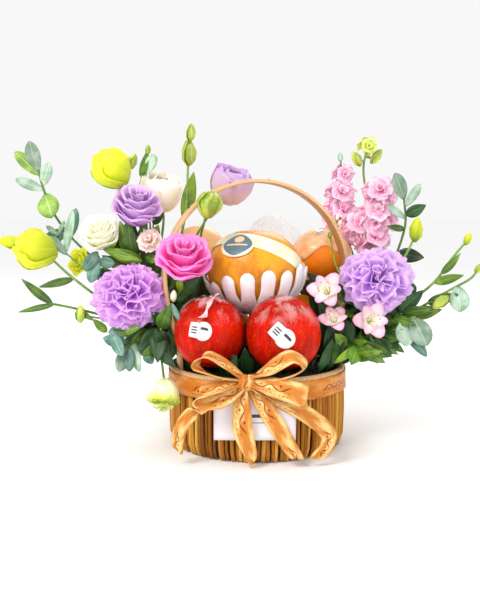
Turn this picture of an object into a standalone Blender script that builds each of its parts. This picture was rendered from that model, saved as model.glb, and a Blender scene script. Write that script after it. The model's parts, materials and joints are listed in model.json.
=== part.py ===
"""A fruit and flower gift basket: a reed basket with a bent strip handle, filled with fruit.

Two bunches of cut flowers and foliage stand at its left and right, a satin ribbon with a bow
goes round its rim, and a small plain card hangs behind the bow. +Z is up, +Y is the back, and
the origin is the middle of the basket's foot. Places in the tables are millimetres.
"""

import math
import random

import bmesh
import bpy
from mathutils import Matrix, Vector
from mathutils.bvhtree import BVHTree
from mathutils.geometry import intersect_point_line

MM = 0.001
GAP = 0.3 * MM
UP = Vector((0, 0, 1))
FRONT = Vector((0, -1, 0))
SEED = 7

# Basket
RIM_RADIUS = 98 * MM
RIM_HEIGHT = 87 * MM
BELLY_RADIUS = 99.3 * MM
BELLY_HEIGHT = 45 * MM
HEEL_RADIUS = 98.5 * MM
HEEL_HEIGHT = 12 * MM
FOOT_RADIUS = 94 * MM
INNER_RADIUS = 92 * MM
FLOOR_THICKNESS = 6 * MM
REEDS = 36
REED_RELIEF = 1.6 * MM

# Handle: a flat bent strip whose ends stand just inside the wall
HANDLE_YAW = math.radians(14)
HANDLE_WIDTH = 20 * MM
HANDLE_THICKNESS = 4 * MM
HANDLE_FOOT_REACH = 87.8 * MM
HANDLE_FOOT_HEIGHT = 45 * MM
HANDLE_REACH = 104.5 * MM
HANDLE_SHOULDER = 185 * MM
HANDLE_TOP = 290 * MM

# Filling that the fruit lies on
FILLING_RADIUS = 86 * MM
FILLING_EDGE = 80 * MM
FILLING_CROWN = 88 * MM

# Fruit
APPLE_LEFT = Vector((-51, -50, 128.5)) * MM
APPLE_LEFT_RADIUS = 38 * MM
APPLE_RIGHT = Vector((26.5, -60, 128.5)) * MM
APPLE_RIGHT_RADIUS = 39.5 * MM
PEAR = Vector((-3, 4, 192)) * MM
PEAR_RADIUS = 53 * MM
PEAR_HALF_HEIGHT = 46 * MM
ORANGES = {
    "orange_right": (Vector((79, 71, 202)) * MM, 35.5 * MM),
    "orange_left": (Vector((-69, 69, 208)) * MM, 34 * MM),
    "orange_low_right": (Vector((48, 45, 126)) * MM, 37 * MM),
    "orange_low_left": (Vector((-45, 42, 124)) * MM, 37 * MM),
}

# The first and last ring of a fruit, in degrees from its stem end
FRUIT_LATITUDES = (14, 168)
APPLE_SHAPE = {"flatness": 1.03, "dimple": 0.2}
ORANGE_SHAPE = {"flatness": 0.94, "dimple": 0.04}
ORANGE_AXIS = (0, 0.2, 1)
PEAR_DIMPLE = 0.05

# Foam cup round the pear
CUP_PETALS = 12
CUP_GAP = 2.8 * MM
CUP_THICKNESS = 2.2 * MM
CUP_TIP_ANGLE = 86
CUP_SLIT_ANGLE = 118

# Crumpled wrap behind the pear, and the room it leaves round the fruit
WRAP = Vector((22, 84, 173)) * MM
WRAP_RADII = Vector((38, 26, 79)) * MM
CLEARANCE = Vector((2.5, 2.5, 2.5)) * MM

# Labels
LABEL_LIFT = 1.3 * MM
LABEL_THICKNESS = 0.7 * MM

# Ribbon and card
BAND_LOW = 64 * MM
BAND_HIGH = 84 * MM
BAND_GAP = 0.9 * MM
RIBBON_THICKNESS = 0.8 * MM
RIBBON_WIDTH = 20 * MM
KNOT = Vector((-13, -112, 88)) * MM
KNOT_RADII = Vector((8, 7, 9)) * MM
BOW_SOLVER = "MANIFOLD"
SPRAY_SOLVER = "MANIFOLD"
CARD_CENTRE = Vector((-4, -103, 52)) * MM
CARD_SIZE = Vector((83, 0.7, 50)) * MM

# Green cores that the cut stems are pushed into
GREENERY = {
    "greenery_left": Vector((-117, 34, 134)) * MM,
    "greenery_right": Vector((128, 32, 130)) * MM,
}
GREENERY_RADII = Vector((29, 40, 40)) * MM
GREENERY_LEAVES = 10
NECKS = {
    "greenery_left": [(-77, 10, 86), (-78, 10, 96), (-92, 16, 111), (-112, 28, 126)],
    "greenery_right": [(77, -10, 86), (78, -9, 96), (93, 0, 111), (120, 18, 124)],
}

NECK_RADIUS = 8 * MM
GOLDEN_ANGLE = math.pi * (3 - math.sqrt(5))

STEM_RADIUS = 1.6 * MM
LEAF_THICKNESS = 1.1 * MM


def mm(point):
    """A table's point, in millimetres, as a vector in metres."""
    return Vector(point) * MM


def clear_scene():
    """Removes every object that the open file holds."""
    for thing in list(bpy.data.objects):
        bpy.data.objects.remove(thing)


def finish(name, colour, roughness):
    """One Principled material."""
    made = bpy.data.materials.new(name)
    made.use_nodes = True
    shader = made.node_tree.nodes["Principled BSDF"]
    shader.inputs["Base Color"].default_value = (*colour, 1)
    shader.inputs["Roughness"].default_value = roughness
    shader.inputs["Metallic"].default_value = 0
    made.diffuse_color = (*colour, 1)
    return made


def add(name, bm, material):
    """Makes a named object of a bmesh, with its faces pointing out, shaded smooth."""
    bmesh.ops.remove_doubles(bm, verts=bm.verts, dist=1e-7)
    bmesh.ops.recalc_face_normals(bm, faces=bm.faces)
    mesh = bpy.data.meshes.new(name)
    bm.to_mesh(mesh)
    bm.free()
    mesh.materials.append(material)
    mesh.shade_smooth()
    mesh.set_sharp_from_angle(angle=math.radians(40))
    thing = bpy.data.objects.new(name, mesh)
    bpy.context.scene.collection.objects.link(thing)
    return thing


def skin(rings, start=None, end=None, looped=False):
    """A closed surface through rings of points, with a tip, or else a flat cap, at each end."""
    bm = bmesh.new()
    loops = [[bm.verts.new(point) for point in ring] for ring in rings]
    count = len(loops[0])
    pairs = list(zip(loops, loops[1:]))
    if looped:
        pairs.append((loops[-1], loops[0]))
    for low, high in pairs:
        for i in range(count):
            j = (i + 1) % count
            bm.faces.new((low[i], low[j], high[j]))
            bm.faces.new((low[i], high[j], high[i]))
    if not looped:
        for loop, tip in ((loops[0], start), (loops[-1], end)):
            if tip is None:
                bm.faces.new(loop)
                continue
            point = bm.verts.new(tip)
            for i in range(count):
                bm.faces.new((loop[i], loop[(i + 1) % count], point))
    return bm


def circle(radius, height, count, turn=0.0):
    """A level ring of points about Z."""
    angles = [2 * math.pi * (i + turn) / count for i in range(count)]
    return [Vector((radius * math.cos(a), radius * math.sin(a), height)) for a in angles]


def facing(direction, place):
    """The matrix that turns +Z to a direction and moves the origin to a place."""
    turned = Vector(direction).normalized().to_track_quat("Z", "Y").to_matrix().to_4x4()
    return Matrix.Translation(place) @ turned


def join(name, pieces, cutters=(), solver="EXACT"):
    """One solid by a Boolean union on a collection, less the cutters, all of it applied."""
    body = pieces[0]
    body.name = name
    for label, members, kind in (("union", pieces[1:], "UNION"), ("cut", cutters, "DIFFERENCE")):
        if not members:
            continue
        group = bpy.data.collections.new(name + "_" + label)
        bpy.context.scene.collection.children.link(group)
        for member in members:
            bpy.context.scene.collection.objects.unlink(member)
            group.objects.link(member)
        boolean = body.modifiers.new(label, "BOOLEAN")
        boolean.operation = kind
        boolean.operand_type = "COLLECTION"
        boolean.collection = group
        boolean.solver = solver
        bpy.context.view_layer.objects.active = body
        bpy.ops.object.modifier_apply(modifier=label)
        for member in members:
            bpy.data.objects.remove(member)
        bpy.data.collections.remove(group)
    body.data.name = name
    return body


def tree(thing):
    """The search tree of an object's mesh, which is modelled in world space."""
    return BVHTree.FromPolygons(
        [v.co for v in thing.data.vertices], [p.vertices for p in thing.data.polygons]
    )


def is_clear(thing, others):
    """Whether a piece crosses none of the others."""
    own = tree(thing)
    return not any(own.overlap(other) for other in others)


def curve_points(points, steps):
    """Points along a smooth Catmull-Rom curve through the given ones."""
    ends = [2 * points[0] - points[1], *points, 2 * points[-1] - points[-2]]
    made = []
    for a, b, c, d in zip(ends, ends[1:], ends[2:], ends[3:]):
        for step in range(steps):
            t = step / steps
            made.append(
                0.5 * (2 * b + (c - a) * t + (2 * a - 5 * b + 4 * c - d) * t * t
                       + (3 * b - a - 3 * c + d) * t ** 3)
            )
    return [*made, points[-1]]


def tangents(points):
    """The direction of travel at each point of a path."""
    ends = [points[0], *points, points[-1]]
    return [(after - before).normalized() for before, after in zip(ends, ends[2:])]


def tube(points, radius, sides=4):
    """A closed round tube along a path."""
    rings = []
    side = None
    for place, along in zip(points, tangents(points)):
        start = side or (UP if abs(along.z) < 0.9 else FRONT)
        side = (start - along * start.dot(along)).normalized()
        over = along.cross(side)
        angles = [2 * math.pi * i / sides for i in range(sides)]
        rings.append([place + radius * (side * math.cos(a) + over * math.sin(a)) for a in angles])
    return skin(rings)


def strip(stations, thickness, steps=3):
    """A flat band through (point, width direction, width) stations, as ribbon and bent wood are."""
    places = curve_points([s[0] for s in stations], steps)
    sides = curve_points([Vector(s[1]) for s in stations], steps)
    widths = [w.x for w in curve_points([Vector((s[2], 0, 0)) for s in stations], steps)]
    rings = []
    for place, along, side, width in zip(places, tangents(places), sides, widths):
        side = (side - along * side.dot(along)).normalized() * width / 2
        thick = along.cross(side).normalized() * thickness / 2
        rings.append([place + side + thick, place - side + thick,
                      place - side - thick, place + side - thick])
    return skin(rings)


def leaf(base, tip, width, hint=FRONT, sag=0.12, roundness=0.5, fold=0.18, stations=4):
    """A thin wavy leaf, thick at its midrib and sharp at its edge.

    roundness moves the widest part from the base, at 0, towards the tip, at 1.
    """
    along = tip - base
    length = along.length
    across = along.cross(hint).normalized()
    over = across.cross(along).normalized()
    bm = bmesh.new()
    rows = []
    for i in range(1, stations):
        t = i / stations
        half = width / 2 * math.sin(math.pi * t ** (0.55 + 0.9 * roundness)) ** 0.75
        middle = base + along * t + over * sag * length * math.sin(math.pi * t)
        lift = over * (fold * half + 0.05 * width * math.sin(5 * t + width / MM))
        thick = over * LEAF_THICKNESS / 2
        rows.append([bm.verts.new(p) for p in (
            middle - across * half + lift, middle + thick, middle + across * half + lift, middle - thick)])
    first, last = bm.verts.new(base), bm.verts.new(tip)
    for low, high in zip(rows, rows[1:]):
        for edge, middle in ((0, 1), (2, 1), (0, 3), (2, 3)):
            bm.faces.new((low[edge], low[middle], high[middle]))
            bm.faces.new((low[edge], high[middle], high[edge]))
    for row, point in ((rows[0], first), (rows[-1], last)):
        for i in range(4):
            bm.faces.new((row[i], row[(i + 1) % 4], point))
    return bm


def wall_radius(height):
    """The basket's outer radius at a height, over the reeds' crests."""
    profile = [(0, FOOT_RADIUS), (HEEL_HEIGHT, HEEL_RADIUS),
               (BELLY_HEIGHT, BELLY_RADIUS), (RIM_HEIGHT, RIM_RADIUS)]
    for (low, r_low), (high, r_high) in zip(profile, profile[1:]):
        if height <= high:
            return r_low + (r_high - r_low) * (height - low) / (high - low)
    return RIM_RADIUS


def make_basket(material):
    """The round basket: a wall of upright reeds, a level floor and an open top."""
    count = 2 * REEDS

    def reeded(radius, height):
        ring = circle(radius, height, count)
        return [p - Vector((p.x, p.y, 0)).normalized() * REED_RELIEF * (i % 2)
                for i, p in enumerate(ring)]

    rings = [reeded(wall_radius(h), h) for h in (0, HEEL_HEIGHT, BELLY_HEIGHT, RIM_HEIGHT)]
    rings.append(circle(INNER_RADIUS, RIM_HEIGHT, count))
    rings.append(circle(INNER_RADIUS - 1 * MM, HEEL_HEIGHT + 4 * MM, count))
    rings.append(circle(INNER_RADIUS - 4 * MM, FLOOR_THICKNESS, count))
    return add("basket", skin(rings), material)


def make_filling(material):
    """The dark packing inside the basket, up to the level that shows between the fruit."""
    side = FILLING_RADIUS
    rings = [circle(side - 6 * MM, FLOOR_THICKNESS + GAP, 24), circle(side, FILLING_EDGE, 24),
             circle(side * 0.7, FILLING_CROWN - 2.5 * MM, 24)]
    return add("filling", skin(rings, end=Vector((0, 0, FILLING_CROWN))), material)


def handle_line():
    """The handle's middle line, from its left foot to its right foot."""
    across = Vector((math.cos(HANDLE_YAW), math.sin(HANDLE_YAW), 0))
    right = []
    steps = 5
    for i in range(steps):
        t = i / steps
        height = HANDLE_FOOT_HEIGHT + (HANDLE_SHOULDER - HANDLE_FOOT_HEIGHT) * t
        share = max(0.0, (height - RIM_HEIGHT) / (HANDLE_SHOULDER - RIM_HEIGHT))
        ease = share * share * (3 - 2 * share)
        right.append((HANDLE_FOOT_REACH + (HANDLE_REACH - HANDLE_FOOT_REACH) * ease, height))
    arch = 10
    for i in range(arch + 1):
        angle = math.pi / 2 * i / arch
        rise = (HANDLE_TOP - HANDLE_SHOULDER) * math.sin(angle)
        right.append((HANDLE_REACH * math.cos(angle), HANDLE_SHOULDER + rise))
    both = [(-reach, height) for reach, height in right] + right[-2::-1]
    return [across * reach + UP * height for reach, height in both]


def make_handle(material):
    """The flat strip bent over the basket from side to side."""
    side = Vector((-math.sin(HANDLE_YAW), math.cos(HANDLE_YAW), 0))
    stations = [(point, side, HANDLE_WIDTH) for point in handle_line()]
    return add("handle", strip(stations, HANDLE_THICKNESS, steps=1), material)


def fruit_rings(radius, half_height, sides, latitudes, dimple=0.0):
    """Rings of a round fruit about Z, with a dimple at each end."""
    rings = []
    for degrees in latitudes:
        angle = math.radians(degrees)
        reach = radius * math.sin(angle)
        well = dimple * radius * math.exp(-((reach / (0.3 * radius)) ** 2))
        height = half_height * math.cos(angle) - math.copysign(well, math.cos(angle))
        rings.append(circle(reach, height, sides))
    return rings


def placed(bm, matrix):
    """The bmesh, moved."""
    bmesh.ops.transform(bm, matrix=matrix, verts=bm.verts)
    return bm


def make_fruit(name, centre, radius, flatness, dimple, axis, material, sides=16, steps=9):
    """A round fruit: flatness is its half height over its radius, axis points to its stem end."""
    first, last = FRUIT_LATITUDES
    latitudes = [first + (last - first) * i / (steps - 1) for i in range(steps)]
    half = radius * flatness
    rings = fruit_rings(radius, half, sides, latitudes, dimple)
    well = dimple * radius * 1.05
    bm = skin(rings, Vector((0, 0, half - well)), Vector((0, 0, well - half)))
    return add(name, placed(bm, facing(axis, centre)), material)


def make_pear(material):
    """The large round pear on top."""
    latitudes = (15, 30, 45, 60, 75, 90, 105, 120, 150)
    rings = fruit_rings(PEAR_RADIUS, PEAR_HALF_HEIGHT, 20, latitudes, PEAR_DIMPLE)
    well = PEAR_DIMPLE * PEAR_RADIUS
    top, bottom = (Vector((0, 0, s * (PEAR_HALF_HEIGHT - well))) for s in (1, -1))
    return add("pear", placed(skin(rings, top, bottom), Matrix.Translation(PEAR)), material)


def make_foam_cup(material):
    """The soft foam cup under the pear, whose upper edge is cut into round petals."""
    count = 3 * CUP_PETALS

    def shell(offset):
        rings = []
        for share in (1.0, 0.5, 0.0):
            ring = []
            for i in range(count):
                tip = CUP_SLIT_ANGLE if i % 3 == 0 else CUP_TIP_ANGLE
                degrees = 120 + (tip - 120) * share
                angle = math.radians(degrees)
                turn = 2 * math.pi * i / count
                reach = (PEAR_RADIUS + offset) * math.sin(angle)
                ring.append(Vector((reach * math.cos(turn), reach * math.sin(turn),
                                    (PEAR_HALF_HEIGHT + offset) * math.cos(angle))))
            rings.append(ring)
        angle = math.radians(150)
        rings.append(circle((PEAR_RADIUS + offset) * math.sin(angle),
                            (PEAR_HALF_HEIGHT + offset) * math.cos(angle), count))
        return rings, Vector((0, 0, -PEAR_HALF_HEIGHT - offset))

    inner, inner_tip = shell(CUP_GAP)
    outer, outer_tip = shell(CUP_GAP + CUP_THICKNESS)
    bm = skin([*reversed(outer), *inner], outer_tip, inner_tip)
    return add("foam_cup", placed(bm, Matrix.Translation(PEAR)), material)


def label_on(name, fruit, centre, aim, outline, material):
    """A thin label that follows a fruit's skin, seen from aim, with an outline in its own plane."""
    target = tree(fruit)
    aim = Vector(aim).normalized()
    across = UP.cross(aim).normalized()
    upward = aim.cross(across)
    far = 0.2

    def on_skin(x, y, lift):
        ray = (aim * far + across * x + upward * y)
        hit = target.ray_cast(centre + ray, -aim)[0]
        return hit + aim * lift

    layers = []
    for lift in (LABEL_LIFT, LABEL_LIFT + LABEL_THICKNESS):
        layers.append([[on_skin(x * s, y * s, lift) for x, y in outline] for s in (0.5, 1.0)])
    tips = [on_skin(0, 0, lift) for lift in (LABEL_LIFT, LABEL_LIFT + LABEL_THICKNESS)]
    rings = [layers[0][0], layers[0][1], layers[1][1], layers[1][0]]
    return add(name, skin(rings, *tips), material)


def oval(width, height, count=10):
    """The outline of a round label."""
    angles = [2 * math.pi * i / count for i in range(count)]
    return [(width / 2 * math.cos(a), height / 2 * math.sin(a)) for a in angles]


def round_rings(centre, radii, sides, latitudes):
    """Level rings of an ellipsoid, from its top down."""
    return [[centre + Vector((p.x * radii.x, p.y * radii.y, radii.z * math.cos(math.radians(d))))
             for p in circle(math.sin(math.radians(d)), 0, sides)] for d in latitudes]


def ellipsoid(name, centre, radii, sides, latitudes, material):
    """An ellipsoid with its poles above and below."""
    rings = round_rings(centre, radii, sides, latitudes)
    return add(name, skin(rings, centre + UP * radii.z, centre - UP * radii.z), material)


def make_film_wrap(material, cutters):
    """The crumpled clear wrap that stands behind the pear, between the oranges."""
    draw = random.Random(SEED)
    rings = []
    for ring in round_rings(WRAP, WRAP_RADII, 11, (16, 34, 60, 90, 120, 155)):
        rings.append([WRAP + draw.uniform(0.95, 1.05) * (point - WRAP) for point in ring])
    body = add("film_wrap", skin(rings, WRAP + UP * WRAP_RADII.z, WRAP - UP * WRAP_RADII.z), material)
    return join("film_wrap", [body], cutters)


def cutter(centre, radii):
    """A shape a little larger than a fruit, which makes room for it."""
    return ellipsoid("cutter", centre, radii + CLEARANCE, 14, range(20, 180, 20), GREEN)


def make_band(material):
    """The satin ribbon round the basket, just under its rim."""
    rings = []
    count = 40
    for i in range(count):
        turn = 2 * math.pi * i / count
        out = Vector((math.cos(turn), math.sin(turn), 0))
        rings.append([out * (wall_radius(h) + BAND_GAP + t) + UP * h
                      for h, t in ((BAND_LOW, 0), (BAND_LOW, RIBBON_THICKNESS),
                                   (BAND_HIGH, RIBBON_THICKNESS), (BAND_HIGH, 0))])
    return add("ribbon_band", skin(rings, looped=True), material)


# Each run of the bow: stations of (x, y, z, width direction, share of the ribbon's width)
BOW_LOOPS = {
    "loop_top_left": [
        (-14, -113, 91, (0, 0.8, 0.6), 0.25), (-34, -116, 105, (0.1, 0.9, 0.5), 0.9),
        (-54, -115, 113, (0.1, 1, 0.3), 1), (-61, -114, 104, (0.4, 1, -0.2), 1),
        (-36, -115, 95, (0, 0.8, -0.6), 0.8), (-14, -112, 89, (0, 0.7, -0.7), 0.25)],
    "loop_low_left": [
        (-15, -114, 88, (0, 0.8, 0.6), 0.25), (-36, -120, 86, (0, 0.9, 0.45), 0.8),
        (-57, -120, 80, (0.2, 0.8, 0.5), 1), (-59, -118, 71, (0.5, 0.8, 0.5), 1),
        (-36, -118, 73, (0, 0.5, 0.85), 0.9), (-14, -114, 85, (0, 0.6, 0.8), 0.25)],
    "loop_top_right": [
        (-12, -113, 91, (0, 0.8, -0.6), 0.25), (10, -116, 101, (-0.3, 0.5, 0.8), 0.8),
        (34, -116, 111, (-0.3, 0.6, 0.7), 1), (46, -115, 103, (0.3, 1, 0.3), 1),
        (20, -115, 94, (0, 0.9, -0.4), 0.8), (-12, -112, 89, (0, 0.8, -0.6), 0.25)],
    "loop_low_right": [
        (-11, -114, 88, (0, 0.4, 0.9), 0.25), (10, -120, 86, (0, 0.3, 0.95), 0.9),
        (34, -121, 80, (0, 0.2, 1), 1.1), (46, -118, 74, (0, 0.3, 1), 1.1),
        (24, -113, 74, (0, 0.3, 1), 0.8), (-11, -112, 85, (0, 0.6, 0.8), 0.25)],
}
BOW_TAILS = {
    "tail_left": [
        (-17, -110, 87, (0.3, 0.5, 0.8), 0.25), (-42, -109.5, 73, (0.5, 0.15, 0.8), 0.7),
        (-70, -107, 53, (0.7, -0.1, 0.4), 0.7), (-81, -105, 33, (0.8, -0.2, 0), 0.7),
        (-83, -104, 17, (0.8, -0.2, 0), 0.6)],
    "tail_middle": [
        (-14, -111, 84, (1, 0, 0), 0.25), (-17, -112, 66, (1, 0, 0), 0.85),
        (-16, -113, 40, (1, 0, 0), 1), (-9, -112, 17, (1, 0.1, 0), 0.7),
        (-5, -111, 6, (1, 0.1, 0), 0.5)],
    "tail_right": [
        (-11, -109, 84, (1, 0, 0.3), 0.25), (6, -108.5, 62, (1, 0, 0.5), 0.85),
        (24, -109, 33, (1, 0, 0.5), 0.85), (39, -109, 9, (1, 0, 0.5), 0.6)],
    "tail_far_right": [
        (-9, -109, 87, (0, 0.2, 1), 0.25), (18, -105.8, 71, (0.2, 0, 1), 0.8),
        (48, -106, 54, (0.5, 0, 0.8), 0.85), (69, -104, 36, (0.9, 0.2, 0.4), 0.85),
        (69, -103, 20, (0.9, 0.3, -0.2), 0.8), (58, -105, 8, (0.8, 0.2, -0.5), 0.6)],
}


def make_bow(material):
    """The bow: loops and tails of ribbon that meet in one knot, joined into one solid."""
    knot = bmesh.new()
    bmesh.ops.create_icosphere(knot, subdivisions=2, radius=1)
    shape = Matrix.Translation(KNOT) @ Matrix.Diagonal((*KNOT_RADII, 1))
    pieces = [add("knot", placed(knot, shape), material)]
    for runs, steps in ((BOW_LOOPS, 2), (BOW_TAILS, 1)):
        for name, run in runs.items():
            stations = [(mm((x, y, z)), side, share * RIBBON_WIDTH) for x, y, z, side, share in run]
            pieces.append(add(name, strip(stations, RIBBON_THICKNESS, steps), material))
    return join("ribbon_bow", pieces, solver=BOW_SOLVER)


def make_card(material):
    """The small plain card that hangs between the bow and the basket."""
    card = bmesh.new()
    bmesh.ops.create_cube(card, size=1, matrix=Matrix.Translation(CARD_CENTRE)
                          @ Matrix.Diagonal((*CARD_SIZE, 1)))
    return add("gift_card", card, material)


# Bloom shapes in units of the bloom's radius, +Z the way it faces. A kind is its sides, its
# lobes, its height over its width, its rings from the stem up, and its centre's height. A ring
# is (reach, height, lobe depth, lobe lift, phase).
BLOOMS = {
    "rose": (12, 4, 1, [
        (0.2, -0.85, 0, 0, 0), (0.62, -0.6, 0.03, 0, 0), (0.97, 0, 0.04, 0.02, 0),
        (1.0, 0.24, 0.08, 0.07, 0), (0.76, 0.22, 0.06, 0, 0.4), (0.64, 0.38, 0.1, 0.05, 0.8),
        (0.44, 0.26, 0.05, 0, 0.8), (0.3, 0.4, 0.1, 0.04, 1.4)], 0.32),
    "carnation": (18, 9, 0.9, [
        (0.18, -0.8, 0, 0, 0), (0.6, -0.5, 0.03, 0, 0), (0.95, -0.1, 0.05, 0.08, 0),
        (0.98, 0.12, 0.06, 0.1, math.pi), (0.72, 0.36, 0.1, 0.09, 0),
        (0.4, 0.48, 0.12, 0.08, math.pi)], 0.5),
    "pompon": (12, 4, 1, [
        (0.2, -0.8, 0, 0, 0), (0.7, -0.4, 0.05, 0, 0), (1.0, 0, 0.08, 0.1, 0),
        (0.66, 0.4, 0.12, 0.08, 1.5)], 0.5),
    "lisianthus": (10, 5, 1, [
        (0.14, -1.1, 0, 0, 0), (0.42, -0.85, 0, 0, 0), (0.8, -0.25, 0.03, 0, 0),
        (1.0, 0.3, 0.1, 0.09, 0), (0.74, 0.24, 0.08, 0, 0.4), (0.5, 0.34, 0.1, 0.05, 0.8)], 0.2),
    "furled": (10, 5, 1, [
        (0.14, -1.15, 0, 0, 0), (0.6, -0.85, 0.03, 0, 0), (0.98, -0.25, 0.05, 0, 0),
        (0.92, 0.3, 0.08, 0.05, 0.4), (0.5, 0.72, 0.1, 0.03, 0.8)], 0.9),
    "bud": (6, 6, 1, [
        (0.3, -1.9, 0, 0, 0), (0.9, -1.1, 0, 0, 0), (0.98, 0, 0, 0, 0), (0.6, 1.1, 0, 0, 0)], 1.9),
    "lily": (18, 6, 1, [
        (0.1, -0.85, 0, 0, 0), (0.35, -0.45, 0, 0, 0), (0.86, 0.12, 0.2, 0.1, 0),
        (0.82, 0.2, 0.2, 0.1, 0), (0.26, -0.3, 0, 0, 0)], -0.4),
    "floret": (9, 3, 1, [
        (0.25, -0.9, 0, 0, 0), (0.95, -0.4, 0.06, 0.05, 0.5), (1.0, 0.15, 0.12, 0.08, 1.2),
        (0.6, 0.6, 0.12, 0.05, 2.4)], 0.55),
}
# How far behind a bloom's middle its stem ends, in the bloom's radii
STEM_TOP = 0.6


def bloom(kind, place, direction, radius, material):
    """One flower head of a kind."""
    count, lobes, squash, profile, centre = BLOOMS[kind]
    rings = []
    for reach, height, depth, lift, phase in profile:
        ring = []
        for point in circle(1, 0, count):
            wave = math.cos(lobes * math.atan2(point.y, point.x) + phase)
            out = reach * (1 + depth * wave)
            ring.append(radius * Vector((point.x * out, point.y * out * squash, height + lift * wave)))
        rings.append(ring)
    bm = skin(rings, end=Vector((0, 0, centre * radius)))
    return add(kind, placed(bm, facing(direction, place)), material)


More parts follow.
